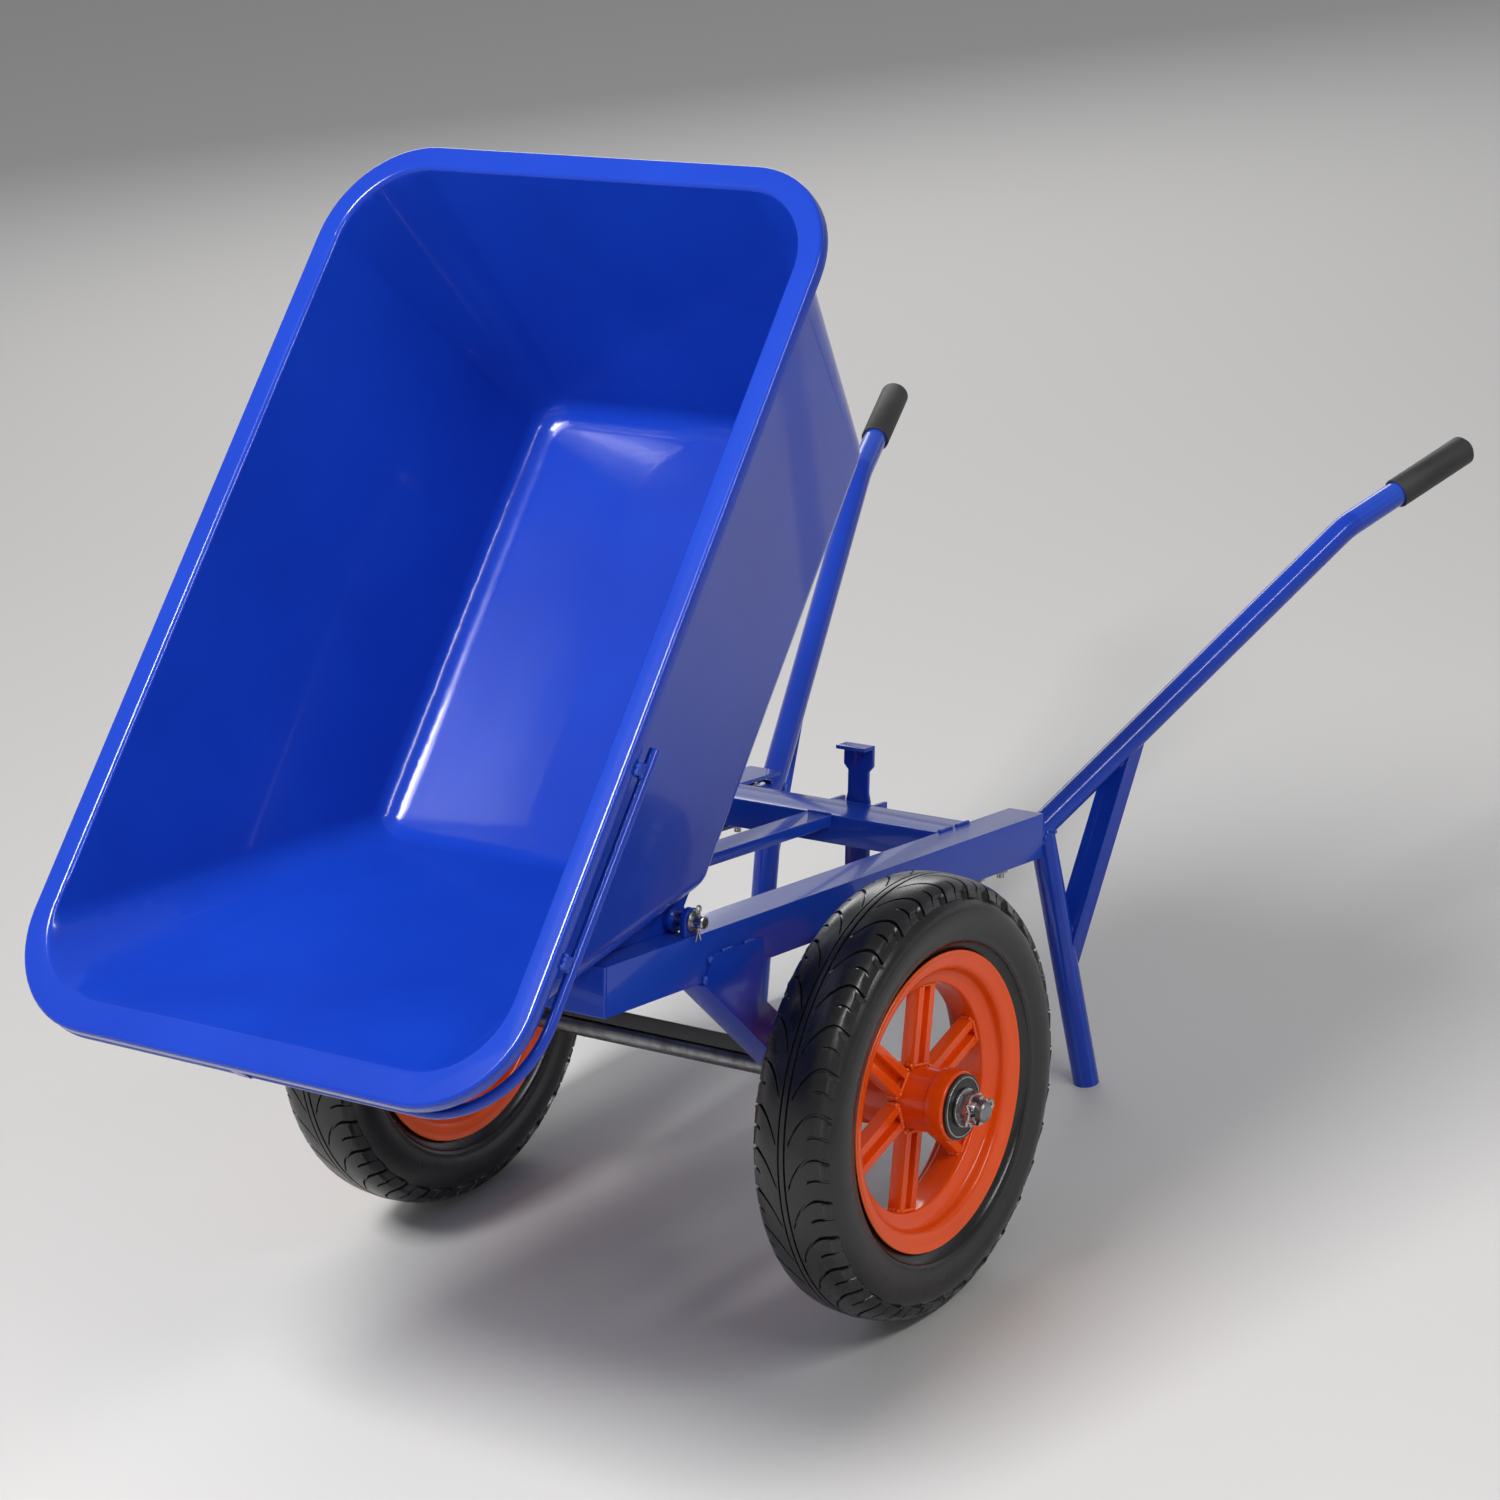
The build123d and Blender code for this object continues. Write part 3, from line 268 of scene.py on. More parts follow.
# %% Metal skin group
def make_metal_skin():
    group, entry, leave = new_group(
        "metal_skin",
        [
            ("Metal", COLOUR, (0.6, 0.6, 0.6, 1)),
            ("Tarnish", COLOUR, (0.2, 0.2, 0.2, 1)),
            ("Tarnish Amount", NUMBER, 0.4),
            ("Gloss", NUMBER, 0.3),
            ("Turning", NUMBER, 0.5),
        ],
        [("Colour", COLOUR), ("Roughness", NUMBER), ("Height", NUMBER)],
    )
    tree, link = group, group.links.new
    place = add_node(tree, "ShaderNodeTexCoord")
    stretch = add_node(tree, "ShaderNodeMapping", Scale=(30.0, 2600.0, 30.0))
    link(place.outputs["Object"], stretch.inputs["Vector"])
    rings = add_node(tree, "ShaderNodeTexNoise", Scale=1.0, Detail=2.0)
    link(stretch.outputs["Vector"], rings.inputs["Vector"])
    blotch = add_node(tree, "ShaderNodeTexNoise", Scale=70.0, Detail=5.0, Roughness=0.65)
    cells = add_node(tree, "ShaderNodeTexVoronoi", Scale=900.0)
    for texture in (blotch, cells):
        link(place.outputs["Object"], texture.inputs["Vector"])
    amount = add_node(tree, "ShaderNodeMapRange", From__Min=0.42, From__Max=0.68)
    link(blotch.outputs["Fac"], amount.inputs["Value"])
    share = add_node(tree, "ShaderNodeMath", operation="MULTIPLY")
    link(amount.outputs["Result"], share.inputs[0])
    link(entry.outputs["Tarnish Amount"], share.inputs[1])
    mixed = add_node(tree, "ShaderNodeMix", data_type="RGBA")
    link(share.outputs["Value"], mixed.inputs["Factor"])
    link(entry.outputs["Metal"], mixed.inputs["A"])
    link(entry.outputs["Tarnish"], mixed.inputs["B"])
    link(mixed.outputs["Result"], leave.inputs["Colour"])
    rough = add_node(tree, "ShaderNodeMath", operation="MULTIPLY_ADD")
    rough.inputs[1].default_value = 0.25
    link(share.outputs["Value"], rough.inputs[0])
    link(entry.outputs["Gloss"], rough.inputs[2])
    link(rough.outputs["Value"], leave.inputs["Roughness"])
    turned = add_node(tree, "ShaderNodeMath", operation="MULTIPLY")
    link(rings.outputs["Fac"], turned.inputs[0])
    link(entry.outputs["Turning"], turned.inputs[1])
    height = add_node(tree, "ShaderNodeMath", operation="MULTIPLY_ADD")
    height.inputs[1].default_value = 0.2
    link(cells.outputs["Distance"], height.inputs[0])
    link(turned.outputs["Value"], height.inputs[2])
    link(height.outputs["Value"], leave.inputs["Height"])
    return group


metal_skin = make_metal_skin()
print("group made:", metal_skin.name)

# %% Zinc plate and bare steel
zinc_steel = new_material(
    "zinc_steel",
    metal_skin,
    {
        "Metal": (0.5, 0.5, 0.5, 1),
        "Tarnish": (0.22, 0.21, 0.19, 1),
        "Tarnish Amount": 0.45,
        "Gloss": 0.24,
        "Turning": 0.2,
    },
    0.03,
    Metallic=1.0,
)
bare_steel = new_material(
    "bare_steel",
    metal_skin,
    {
        "Metal": (0.28, 0.285, 0.29, 1),
        "Tarnish": (0.07, 0.065, 0.06, 1),
        "Tarnish Amount": 0.6,
        "Gloss": 0.3,
        "Turning": 0.8,
    },
    0.03,
    Metallic=1.0,
)
print("metals made:", zinc_steel.name, bare_steel.name)

# %% [markdown]
# Rubber is nearly black and takes its look from its surface: a fine grain from the mould,
# paler and duller where it is rubbed, and a weak broad shine.


# %% Rubber grain group
def make_rubber_grain():
    group, entry, leave = new_group(
        "rubber_grain",
        [
            ("Rubber", COLOUR, (0.02, 0.02, 0.02, 1)),
            ("Rubbed", COLOUR, (0.05, 0.05, 0.05, 1)),
            ("Rubbed Amount", NUMBER, 0.5),
            ("Gloss", NUMBER, 0.45),
            ("Grain", NUMBER, 0.5),
        ],
        [("Colour", COLOUR), ("Roughness", NUMBER), ("Height", NUMBER)],
    )
    tree, link = group, group.links.new
    place = add_node(tree, "ShaderNodeTexCoord")
    patches = add_node(tree, "ShaderNodeTexNoise", Scale=22.0, Detail=4.0, Roughness=0.6)
    grain = add_node(tree, "ShaderNodeTexNoise", Scale=900.0, Detail=2.0)
    for texture in (patches, grain):
        link(place.outputs["Object"], texture.inputs["Vector"])
    shape = add_node(tree, "ShaderNodeNewGeometry")
    edge = add_node(
        tree, "ShaderNodeMapRange", From__Min=0.5, From__Max=0.62, To__Max=0.8
    )
    link(shape.outputs["Pointiness"], edge.inputs["Value"])
    patch = add_node(
        tree, "ShaderNodeMapRange", From__Min=0.4, From__Max=0.75, To__Max=0.6
    )
    link(patches.outputs["Fac"], patch.inputs["Value"])
    both = add_node(tree, "ShaderNodeMath", operation="ADD", use_clamp=True)
    link(edge.outputs["Result"], both.inputs[0])
    link(patch.outputs["Result"], both.inputs[1])
    share = add_node(tree, "ShaderNodeMath", operation="MULTIPLY")
    link(both.outputs["Value"], share.inputs[0])
    link(entry.outputs["Rubbed Amount"], share.inputs[1])
    mixed = add_node(tree, "ShaderNodeMix", data_type="RGBA")
    link(share.outputs["Value"], mixed.inputs["Factor"])
    link(entry.outputs["Rubber"], mixed.inputs["A"])
    link(entry.outputs["Rubbed"], mixed.inputs["B"])
    link(mixed.outputs["Result"], leave.inputs["Colour"])
    rough = add_node(tree, "ShaderNodeMath", operation="MULTIPLY_ADD")
    rough.inputs[1].default_value = 0.2
    link(share.outputs["Value"], rough.inputs[0])
    link(entry.outputs["Gloss"], rough.inputs[2])
    link(rough.outputs["Value"], leave.inputs["Roughness"])
    height = add_node(tree, "ShaderNodeMath", operation="MULTIPLY")
    link(grain.outputs["Fac"], height.inputs[0])
    link(entry.outputs["Grain"], height.inputs[1])
    link(height.outputs["Value"], leave.inputs["Height"])
    return group


rubber_grain = make_rubber_grain()
print("group made:", rubber_grain.name)

# %% Rubber and black plastic
tyre_rubber = new_material(
    "tyre_rubber",
    rubber_grain,
    {
        "Rubber": (0.006, 0.006, 0.0065, 1),
        "Rubbed": (0.02, 0.02, 0.0195, 1),
        "Rubbed Amount": 0.6,
        "Gloss": 0.23,
        "Grain": 0.4,
    },
    0.12,
    Specular__IOR__Level=0.55,
)
grip_rubber = new_material(
    "grip_rubber",
    rubber_grain,
    {
        "Rubber": (0.012, 0.012, 0.012, 1),
        "Rubbed": (0.04, 0.04, 0.042, 1),
        "Rubbed Amount": 0.7,
        "Gloss": 0.5,
        "Grain": 1.0,
    },
    0.25,
)
black_plastic = new_material(
    "black_plastic",
    rubber_grain,
    {
        "Rubber": (0.007, 0.007, 0.0075, 1),
        "Rubbed": (0.03, 0.03, 0.03, 1),
        "Rubbed Amount": 0.3,
        "Gloss": 0.3,
        "Grain": 0.2,
    },
    0.05,
)
print("rubbers made:", tyre_rubber.name, grip_rubber.name, black_plastic.name)

# %% [markdown]
# Every part names the finish that it needs in model.json, so one table gives each of them its
# material.

# %% A finish for every part
finish_of_slot = {
    "blue_paint": blue_paint,
    "orange_paint": orange_paint,
    "dark_paint": dark_paint,
    "zinc_steel": zinc_steel,
    "bare_steel": bare_steel,
    "tyre_rubber": tyre_rubber,
    "tube_rubber": black_plastic,
    "grip_rubber": grip_rubber,
    "black_plastic": black_plastic,
    "valve_rubber": black_plastic,
}
slot_of = {part["node"]: part["material_slot"] for part in frame["record"]["subparts"]}
body_of_node = {
    node: body
    for body, members in frame["record"]["behaviour"]["bodies"].items()
    for node in members
}
for name, part in nodes.items():
    part.data.materials.clear()
    part.data.materials.append(finish_of_slot[slot_of[name]])
print("finishes given to", len(nodes), "parts")

# %% [markdown]
# ## Softened edges
# A part from model.glb has knife-sharp corners, and real steel never has: a rolled channel, a
# pressed plate and a sawn angle all catch a thin line of light on their edges. The part's mesh
# is copied, its doubled points are merged, and a Bevel modifier rounds every corner. That keeps
# the true size, which modelling each plate again would put at risk.


# %% Copies of parts with rounded corners
def finish_piece(piece, body, slot, *replaced):
    """Give a new piece its finish, its moving body and the part it stands for."""
    bpy.context.scene.collection.objects.link(piece)
    piece.data.materials.clear()
    piece.data.materials.append(finish_of_slot[slot])
    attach(piece, body)
    if replaced:
        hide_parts(*replaced)
    return piece


def soften(node, width_mm, corner=35, segments=3):
    """A copy of a part with merged points and rounded corners."""
    shape = bmesh.new()
    shape.from_mesh(nodes[node].data)
    bmesh.ops.remove_doubles(shape, verts=shape.verts, dist=2e-6)
    bmesh.ops.dissolve_limit(
        shape, angle_limit=radians(0.3), verts=shape.verts, edges=shape.edges
    )
    mesh = bpy.data.meshes.new(f"{node}_finished")
    shape.to_mesh(mesh)
    shape.free()
    mesh.shade_smooth()
    piece = bpy.data.objects.new(f"{node}_finished", mesh)
    rounding = piece.modifiers.new("rounding", "BEVEL")
    rounding.width = width_mm / 1000
    rounding.segments = segments
    rounding.limit_method = "ANGLE"
    rounding.angle_limit = radians(corner)
    rounding.harden_normals = True
    return finish_piece(piece, body_of_node[node], slot_of[node], node)


# %% Widths of the rounded corners, in mm
both_sides = ("left", "right")
softened = {
    "front_cross_member": 1.2,
    "rear_cross_member": 1.2,
    "centre_beam": 0.8,
    "axle_stiffener": 0.8,
    "axle_spacers": 0.6,
    "axle_washers": 0.4,
    "axle_nuts": 0.5,
    "lip_bar": 0.8,
    "tray_shell": 0.5,
    "pivot_rod": 0.4,
    "handle_bolts": 0.4,
    "handle_nuts": 0.4,
    "handle_washers": 0.25,
    "pivot_washers": 0.3,
    "latch_bracket": 0.6,
    "latch_pin": 0.4,
    "latch_lever": 0.9,
    "tray_keeper": 0.6,
}
for side in both_sides:
    softened[f"{side}_grip"] = 0.8
    softened[f"{side}_hub"] = 1.0
    softened[f"{side}_spokes"] = 1.2
    softened[f"{side}_hub_seals"] = 0.5
    softened[f"{side}_rail"] = 1.5
    softened[f"{side}_axle_bracket"] = 0.9
    softened[f"{side}_leg"] = 0.3
    softened[f"{side}_leg_brace"] = 0.8
    softened[f"{side}_pivot_lug"] = 0.6
    softened[f"{side}_hinge_arm"] = 0.8
    softened[f"{side}_foot_plug"] = 0.5
for node, width_mm in softened.items():
    soften(node, width_mm)
print("parts softened:", len(softened))
for name in nodes:
    if name not in softened:
        nodes[name].data.shade_smooth()
        nodes[name].data.set_sharp_from_angle(angle=radians(35))

# %% [markdown]
# ## Tyres
# A pneumatic tyre is moulded, so its tread is a pattern that repeats round it: two fine
# grooves along the crown, long curved cuts that sweep back towards the middle, and short
# cuts between them that break up the shoulder. The outline is spun round the axle with
# seventeen rows of points for each repeat. The rows are then slid along the tread until they
# lie on the edges of the cuts, and the points inside a cut are pushed down. That gives
# crisp cuts with few faces, where a fine even mesh would still leave them ragged.


# %% Outline of the tyre
def smooth_line(points, steps=24):
    """A smooth curve through points, as a dense list (Catmull-Rom)."""
    ends = [points[0] * 2 - points[1], *points, points[-1] * 2 - points[-2]]
    line = []
    for before, start, end, after in zip(ends, ends[1:], ends[2:], ends[3:]):
        for step in range(steps):
            t = step / steps
            line.append(
                0.5
                * (
                    2 * start
                    + (end - before) * t
                    + (2 * before - 5 * start + 4 * end - after) * t**2
                    + (3 * start - before - 3 * end + after) * t**3
                )
            )
    return line + [points[-1]]


def at_length(line, length):
    """The point of a line that lies a given length along it, and the outward way there."""
    walked = 0
    for start, end in zip(line, line[1:]):
        step = (end - start).length
        if walked + step >= length:
            way = (end - start).normalized()
            return start.lerp(end, (length - walked) / step), Vector((-way.y, way.x))
        walked += step
    way = (line[-1] - line[-2]).normalized()
    return line[-1].copy(), Vector((-way.y, way.x))


# %% The tyre's outline and the places of its rows of points
# across the tyre and out from the axle, in mm, from the crown to the rim
tyre_outline = smooth_line(
    [
        Vector(point)
        for point in (
            (0, 210),
            (20, 208.1),
            (33, 202.8),
            (41.4, 193),
            (45.7, 178),
            (46.1, 168.5),
            (41.4, 155.5),
            (33.6, 145.2),
        )
    ]
)
lining = [(32, 141.6), (30.1, 138), (29.5, 130.5), (28, 126.9), (22, 126.9), (22, 133.5)]
lining += [(27, 140), (33.5, 148), (38.8, 163.5), (38.2, 179), (33.8, 190), (25.8, 197.4)]
lining += [(15, 200.8), (0, 202)]
crown_lengths = [0, 2.2, 2.6, 3.8, 4.2, 6, 8, 10.5, 13, 16, 19, 22, 25, 28, 31, 34, 37, 40]
flank_lengths = [42.5, 43.3, 45.5, 47.5, 48.3, 52, 57, 62, 67, 72, 77, 82, 86, 87, 88.5, 90]
flank_lengths += [91, 94.5, 98.5]
print("tyre outline points:", len(tyre_outline))


# %% [markdown]
# The long cuts leave the shoulder, rise a little and then sweep back towards the crown, so
# the rows follow the same bow. On the shoulder each block of the tread is a tooth: it starts
# high and falls away until the next cut.


# %% Tread pattern
repeats = 32
pitch = 41.2
row_places = [-2.1, -1.3, 1.2, 2.2, 5.0, 8.0, 11.0, 14.5, 18.0, 18.9, 19.5, 21.4, 22.2]
row_places += [25.5, 29.0, 32.5, 36.0]
long_rows, short_rows = (1, 2), (10, 11)
bow = [(0, -34), (6, -31), (8, -27), (10.5, -21), (13, -15.5), (16, -10.5), (19, -6.5)]
bow += [(22, -3.2), (25, -0.6), (28, 1.2), (31, 2), (34, 2), (37, 1.2), (40, 0), (48, -3)]


def bow_at(length):
    """How far the rows lie ahead of the shoulder line, in mm along the tread."""
    for (start, low), (end, high) in zip(bow, bow[1:]):
        if length <= end:
            return low + (high - low) * (length - start) / (end - start)
    return bow[-1][1]


# %% Depths of the tread
# each span is a stretch of the outline, measured from the crown; all in mm
shoulder = 47.8
crown_groove, crown_groove_depth = (2.4, 4.0), 2.2
long_cut, long_cut_depth = (7, shoulder), 3.0
long_cut_tip, long_cut_tip_depth = 12, 1.8
short_cut, short_cut_depth = (26, shoulder), 2.6
tooth, tooth_depth = (39, shoulder), 3.4
tooth_end, tooth_fade = 57, 9
rim_rib, rim_rib_height = (86.5, 90.5), 0.8


def cut_depth(row, length):
    """Depth of the tread at one row of a repeat, in mm under the full outline."""

    def within(span):
        return span[0] < length < span[1]

    depth = 0
    if within(crown_groove):
        depth = crown_groove_depth
    if row in long_rows and within(long_cut):
        depth = long_cut_depth if length > long_cut_tip else long_cut_tip_depth
    if row in short_rows and within(short_cut):
        depth = short_cut_depth
    if within(tooth):
        fall = (row_places[row] - row_places[0]) / pitch
        depth = max(depth, tooth_depth * fall)
    if shoulder < length < tooth_end:
        depth = tooth_depth * (tooth_end - length) / tooth_fade
    if within(rim_rib):
        depth -= rim_rib_height
    return depth


print("repeats round the tyre:", repeats, "rows in each:", len(row_places))


# %% [markdown]
# Each point knows its own place in the outline, because a number layer is set on the outline
# before it is spun and the spin copies it to every row.


# %% Spin the tyre and cut its tread
def make_tyre(side):
    """A closed tyre round the wheel's axle with its tread cut in."""
    middle = wheel_middle[side]
    rows = repeats * len(row_places)
    shape = bmesh.new()
    place_layer = shape.verts.layers.float.new("along")
    outside = crown_lengths + flank_lengths
    half = [(*at_length(tyre_outline, length)[0], length) for length in outside]
    half += [(a, r, -1) for a, r in lining]
    ring = half + [(-a, r, length) for a, r, length in half[-2:0:-1]]
    points = []
    for a, r, length in ring:
        point = shape.verts.new((middle.x, middle.y + a / 1000, middle.z + r / 1000))
        point[place_layer] = length
        points.append(point)
    edges = [shape.edges.new(pair) for pair in zip(points, points[1:] + points[:1])]
    bmesh.ops.spin(
        shape,
        geom=points + edges,
        cent=middle,
        axis=(0, 1, 0),
        angle=2 * pi,
        steps=rows,
        use_merge=True,
    )
    bmesh.ops.remove_doubles(shape, verts=shape.verts, dist=1e-6)
    for point in shape.verts:
        length = point[place_layer]
        if length < 0:
            continue
        a = (point.co.y - middle.y) * 1000
        turn = atan2(point.co.z - middle.z, middle.x - point.co.x) % (2 * pi)
        count = round(turn / (2 * pi) * rows)
        repeat, row = divmod(count, len(row_places))
        place_mm, outward = at_length(tyre_outline, length)
        depth = cut_depth(row, length)
        r = place_mm.y - depth * outward.y
        across = place_mm.x - depth * outward.x
        slide = row_places[row] + bow_at(length)
        new_turn = (repeat * pitch + slide) / (repeats * pitch) * 2 * pi
        across = across if a >= 0 else -across
        point.co = middle + Vector(
            (-cos(new_turn) * r / 1000, across / 1000, sin(new_turn) * r / 1000)
        )
    bmesh.ops.recalc_face_normals(shape, faces=shape.faces)
    mesh = bpy.data.meshes.new(f"{side}_tyre_finished")
    shape.to_mesh(mesh)
    shape.free()
    mesh.shade_smooth()
    mesh.set_sharp_from_angle(angle=radians(40))
    piece = bpy.data.objects.new(mesh.name, mesh)
    return finish_piece(piece, f"{side}_wheel", "tyre_rubber", f"{side}_tyre")


for side in both_sides:
    tyre = make_tyre(side)
    print(tyre.name, "faces:", len(tyre.data.polygons))

# %% [markdown]
# ## Rims
# The rim is rolled from one sheet: a round bead at the lip, a smooth dish behind it and a
# deep well in the middle. A smooth outline spun round the axle shows that roll, where the
# part from model.glb has straight flats with corners.


# %% Turned pieces of the wheels
def spin_outline(name, middle, outline, steps=192):
    """A closed ring spun about the wheel's axle from (along the axle, radius) in mm."""
    shape = bmesh.new()
    points = [
        shape.verts.new((middle.x, middle.y + a / 1000, middle.z + r / 1000))
        for a, r in outline
    ]
    edges = [shape.edges.new(pair) for pair in zip(points, points[1:] + points[:1])]
    bmesh.ops.spin(
        shape,
        geom=points + edges,
        cent=middle,
        axis=(0, 1, 0),
        angle=2 * pi,
        steps=steps,
        use_merge=True,
    )
    bmesh.ops.remove_doubles(shape, verts=shape.verts, dist=1e-6)
    bmesh.ops.recalc_face_normals(shape, faces=shape.faces)
    mesh = bpy.data.meshes.new(name)
    shape.to_mesh(mesh)
    shape.free()
    mesh.shade_smooth()
    return bpy.data.objects.new(name, mesh)


rim_dish = [(0, 108.4), (13.2, 108.4), (16, 111.5), (18.6, 117.5), (21.5, 121.8)]
rim_dish += [(25.5, 123.4), (29, 124.6), (31.6, 127.6), (33, 132), (34, 136.4), (35.2, 139.4)]
rim_lip = [(35.9, 140.4), (36, 141.4), (35.5, 142.3), (34.5, 142.5), (33.6, 141.9)]
rim_seat = [(32.2, 139.2), (31, 134), (30.5, 130.2), (29, 126.5), (19, 126), (13, 111.5)]
rim_seat += [(0, 111.5)]


def smoothed(points, steps=3):
    """The same points with a few more between them on a smooth curve."""
    return [point[:] for point in smooth_line([Vector(p) for p in points], steps)]


def both_flanks(half):
    """An outline drawn on one side, completed on the other side of the middle."""
    return [(-a, r) for a, r in reversed(half) if a > 0] + list(half)


rim_inside = both_flanks(smoothed(rim_dish) + rim_lip[1:])
rim_outside = both_flanks(rim_seat[::-1])
for side in both_sides:
    rim = spin_outline(
        f"{side}_rim_finished", wheel_middle[side], rim_inside + rim_outside[::-1]
    )
    rim.data.set_sharp_from_angle(angle=radians(50))
    finish_piece(rim, f"{side}_wheel", "orange_paint", f"{side}_rim")
    print(rim.name, "faces:", len(rim.data.polygons))

# %% [markdown]
# ## Weld beads
# The barrow is welded together by hand, so every joint has a lumpy bead: a row of small
# overlapping puddles. A circle is extruded along the joint in short steps, and its size
# swells and shrinks once for each puddle. The parts from model.glb stand a hair apart where a
# bead fills the joint, so the beads also close those hairline gaps.


# %% One bead along a path
# shares of the bead's radius, and the turn of the swelling at each step in radians
bead_step = 0.45
puddle_base, puddle_swell, puddle_wobble = 0.8, 0.35, 0.15
puddle_turn = 0.62


def add_bead(shape, path, radius):
    """Extrude a small circle along a path in mm-sized steps, swelling at every puddle."""
    step_length = radius * bead_step
    line = []
    for start, end in zip(path, path[1:]):
        count = max(1, round((end - start).length / step_length))
        line += [start.lerp(end, index / count) for index in range(count)]
    line.append(path[-1])
    edges, last = None, None
    for index, spot in enumerate(line):
        ahead = line[min(index + 1, len(line) - 1)] - line[max(index - 1, 0)]
        puddle = puddle_base + puddle_swell * abs(sin(index * puddle_turn))
        wobble = puddle_wobble * noise.noise(spot * 400)
        taper = 0.5 if index in (0, len(line) - 1) else 1
        size = radius * (puddle + wobble) * taper
        turn = ahead.to_track_quat("Z", "Y").to_matrix().to_4x4()
        now = Matrix.Translation(spot) @ turn @ Matrix.Scale(size, 4)
        if edges is None:
            made = bmesh.ops.create_circle(shape, cap_ends=True, segments=8, radius=1)
            points = made["verts"]
            bmesh.ops.transform(shape, matrix=now, verts=points)
        else:
            made = bmesh.ops.extrude_edge_only(shape, edges=edges)["geom"]
            points = [item for item in made if isinstance(item, bmesh.types.BMVert)]
            bmesh.ops.transform(shape, matrix=now @ last.inverted(), verts=points)
        ring = set(points)
        touched = dict.fromkeys(edge for point in points for edge in point.link_edges)
        edges = [edge for edge in touched if ring.issuperset(edge.verts)]
        last = now
    bmesh.ops.edgeloop_fill(shape, edges=edges)


def make_welds(name, body, slot, joints_of_welds):
    """One object with all the beads of a body: a list of (path in metres, radius)."""
    shape = bmesh.new()
    for path, radius in joints_of_welds:
        add_bead(shape, [Vector(point) for point in path], radius)
    bmesh.ops.recalc_face_normals(shape, faces=shape.faces)
    mesh = bpy.data.meshes.new(name)
    shape.to_mesh(mesh)
    shape.free()
    mesh.shade_smooth()
    piece = bpy.data.objects.new(name, mesh)
    finish_piece(piece, body, slot)
    print(name, "beads:", len(joints_of_welds), "faces:", len(mesh.polygons))
    return piece


# %% [markdown]
# A leg meets its handle tube like a branch meets a trunk. The bead's path is where one round
# tube cuts the other, so it is worked out from the two centre lines.


# %% Where two round tubes meet
def on_chassis(x, y, z):
    """A point of the level chassis, in mm, as it stands."""
    return chassis @ Vector((x / 1000, y / 1000, z / 1000))


def saddle(foot, way, radius, trunk, trunk_way, trunk_radius, steps=40):
    """Where a round branch that leaves a round trunk cuts its surface (mm)."""
    way, trunk_way = way.normalized(), trunk_way.normalized()
    side_way = way.cross(trunk_way).normalized()
    other_way = side_way.cross(way)
    path = []
    for step in range(steps + 1):
        turn = 2 * pi * step / steps
        rim_point = foot + radius * (cos(turn) * side_way + sin(turn) * other_way)
        start = rim_point - trunk
        start -= start.dot(trunk_way) * trunk_way
        slope = way - way.dot(trunk_way) * trunk_way
        a, b = slope.dot(slope), 2 * slope.dot(start)
        c = start.dot(start) - trunk_radius**2
        reach = (-b + max(b * b - 4 * a * c, 0) ** 0.5) / (2 * a)
        path.append(rim_point + reach * way)
    return path


# %% Places of the frame's beads
# the radii are in metres, and the places are in mm on the level chassis
tube_bead, end_bead, tack_bead = 0.0024, 0.0022, 0.0026
seam_bead, thin_bead, long_bead = 0.0018, 0.0016, 0.0019
tube_radius = 13.5
rail_middle, rail_web = 162, 183
plate_edge = 141
deck = 180.4
frame_beads = []


def frame_bead(radius, *points):
    """One more bead of the frame, through points of the level chassis."""
    frame_beads.append(([on_chassis(*point) for point in points], radius))


for way in (-1, 1):
    bend = Vector((414, way * rail_middle, 151.6))
    knee = Vector((804, way * 309, 438))
    leg_top = bend + (knee - bend) * (11 / 390)
    leg_foot = Vector((460, way * 209.5, -112))
    ring = saddle(
        leg_top, leg_foot - leg_top, tube_radius, bend, knee - bend, tube_radius
    )
    frame_bead(tube_bead, *ring)
    upright = [(404, way * 177, z) for z in (140, 150, 158, 163)]
    across = [(404, way * y, 166) for y in (172, 162, 152)]
    frame_bead(end_bead, *upright, *across)
    for x_start, x_end in ((268, 292), (300, 324)):
        frame_bead(
            long_bead, (x_start, way * plate_edge, deck), (x_end, way * plate_edge, deck)
        )
    frame_bead(seam_bead, *[(266, way * plate_edge, z) for z in (178, 168, 156)])
    frame_bead(seam_bead, *[(x, way * plate_edge, 180.3) for x in (-306, -332)])
    frame_bead(seam_bead, *[(x, way * 172, 180.8) for x in (-217, -193)])
    for x_end in (-1, 1):
        for x, z in ((184, 155), (191, 138)):
            frame_bead(
                tack_bead,
                (x_end * x, way * rail_web, z + 3),
                (x_end * (x + 1), way * rail_web, z - 4),
            )
        for x in (115, 150):
            frame_bead(
                seam_bead,
                (x_end * x, way * rail_web, 158.6),
                (x_end * (x + 16), way * rail_web, 158.6),
            )
for x in (265.8, -305.8):
    frame_bead(thin_bead, (x, -14, 180.3), (x, 14, 180.3))
for way in (-1, 1):
    frame_bead(seam_bead, *[(326.4, way * 25.5, z) for z in (179, 160)])
make_welds("frame_welds", "frame", "blue_paint", frame_beads)

# %% [markdown]
# The spokes are tacked to the hub and to the well of the rim on both sides, and the bar under
# the tray's lip hangs from short tacks.

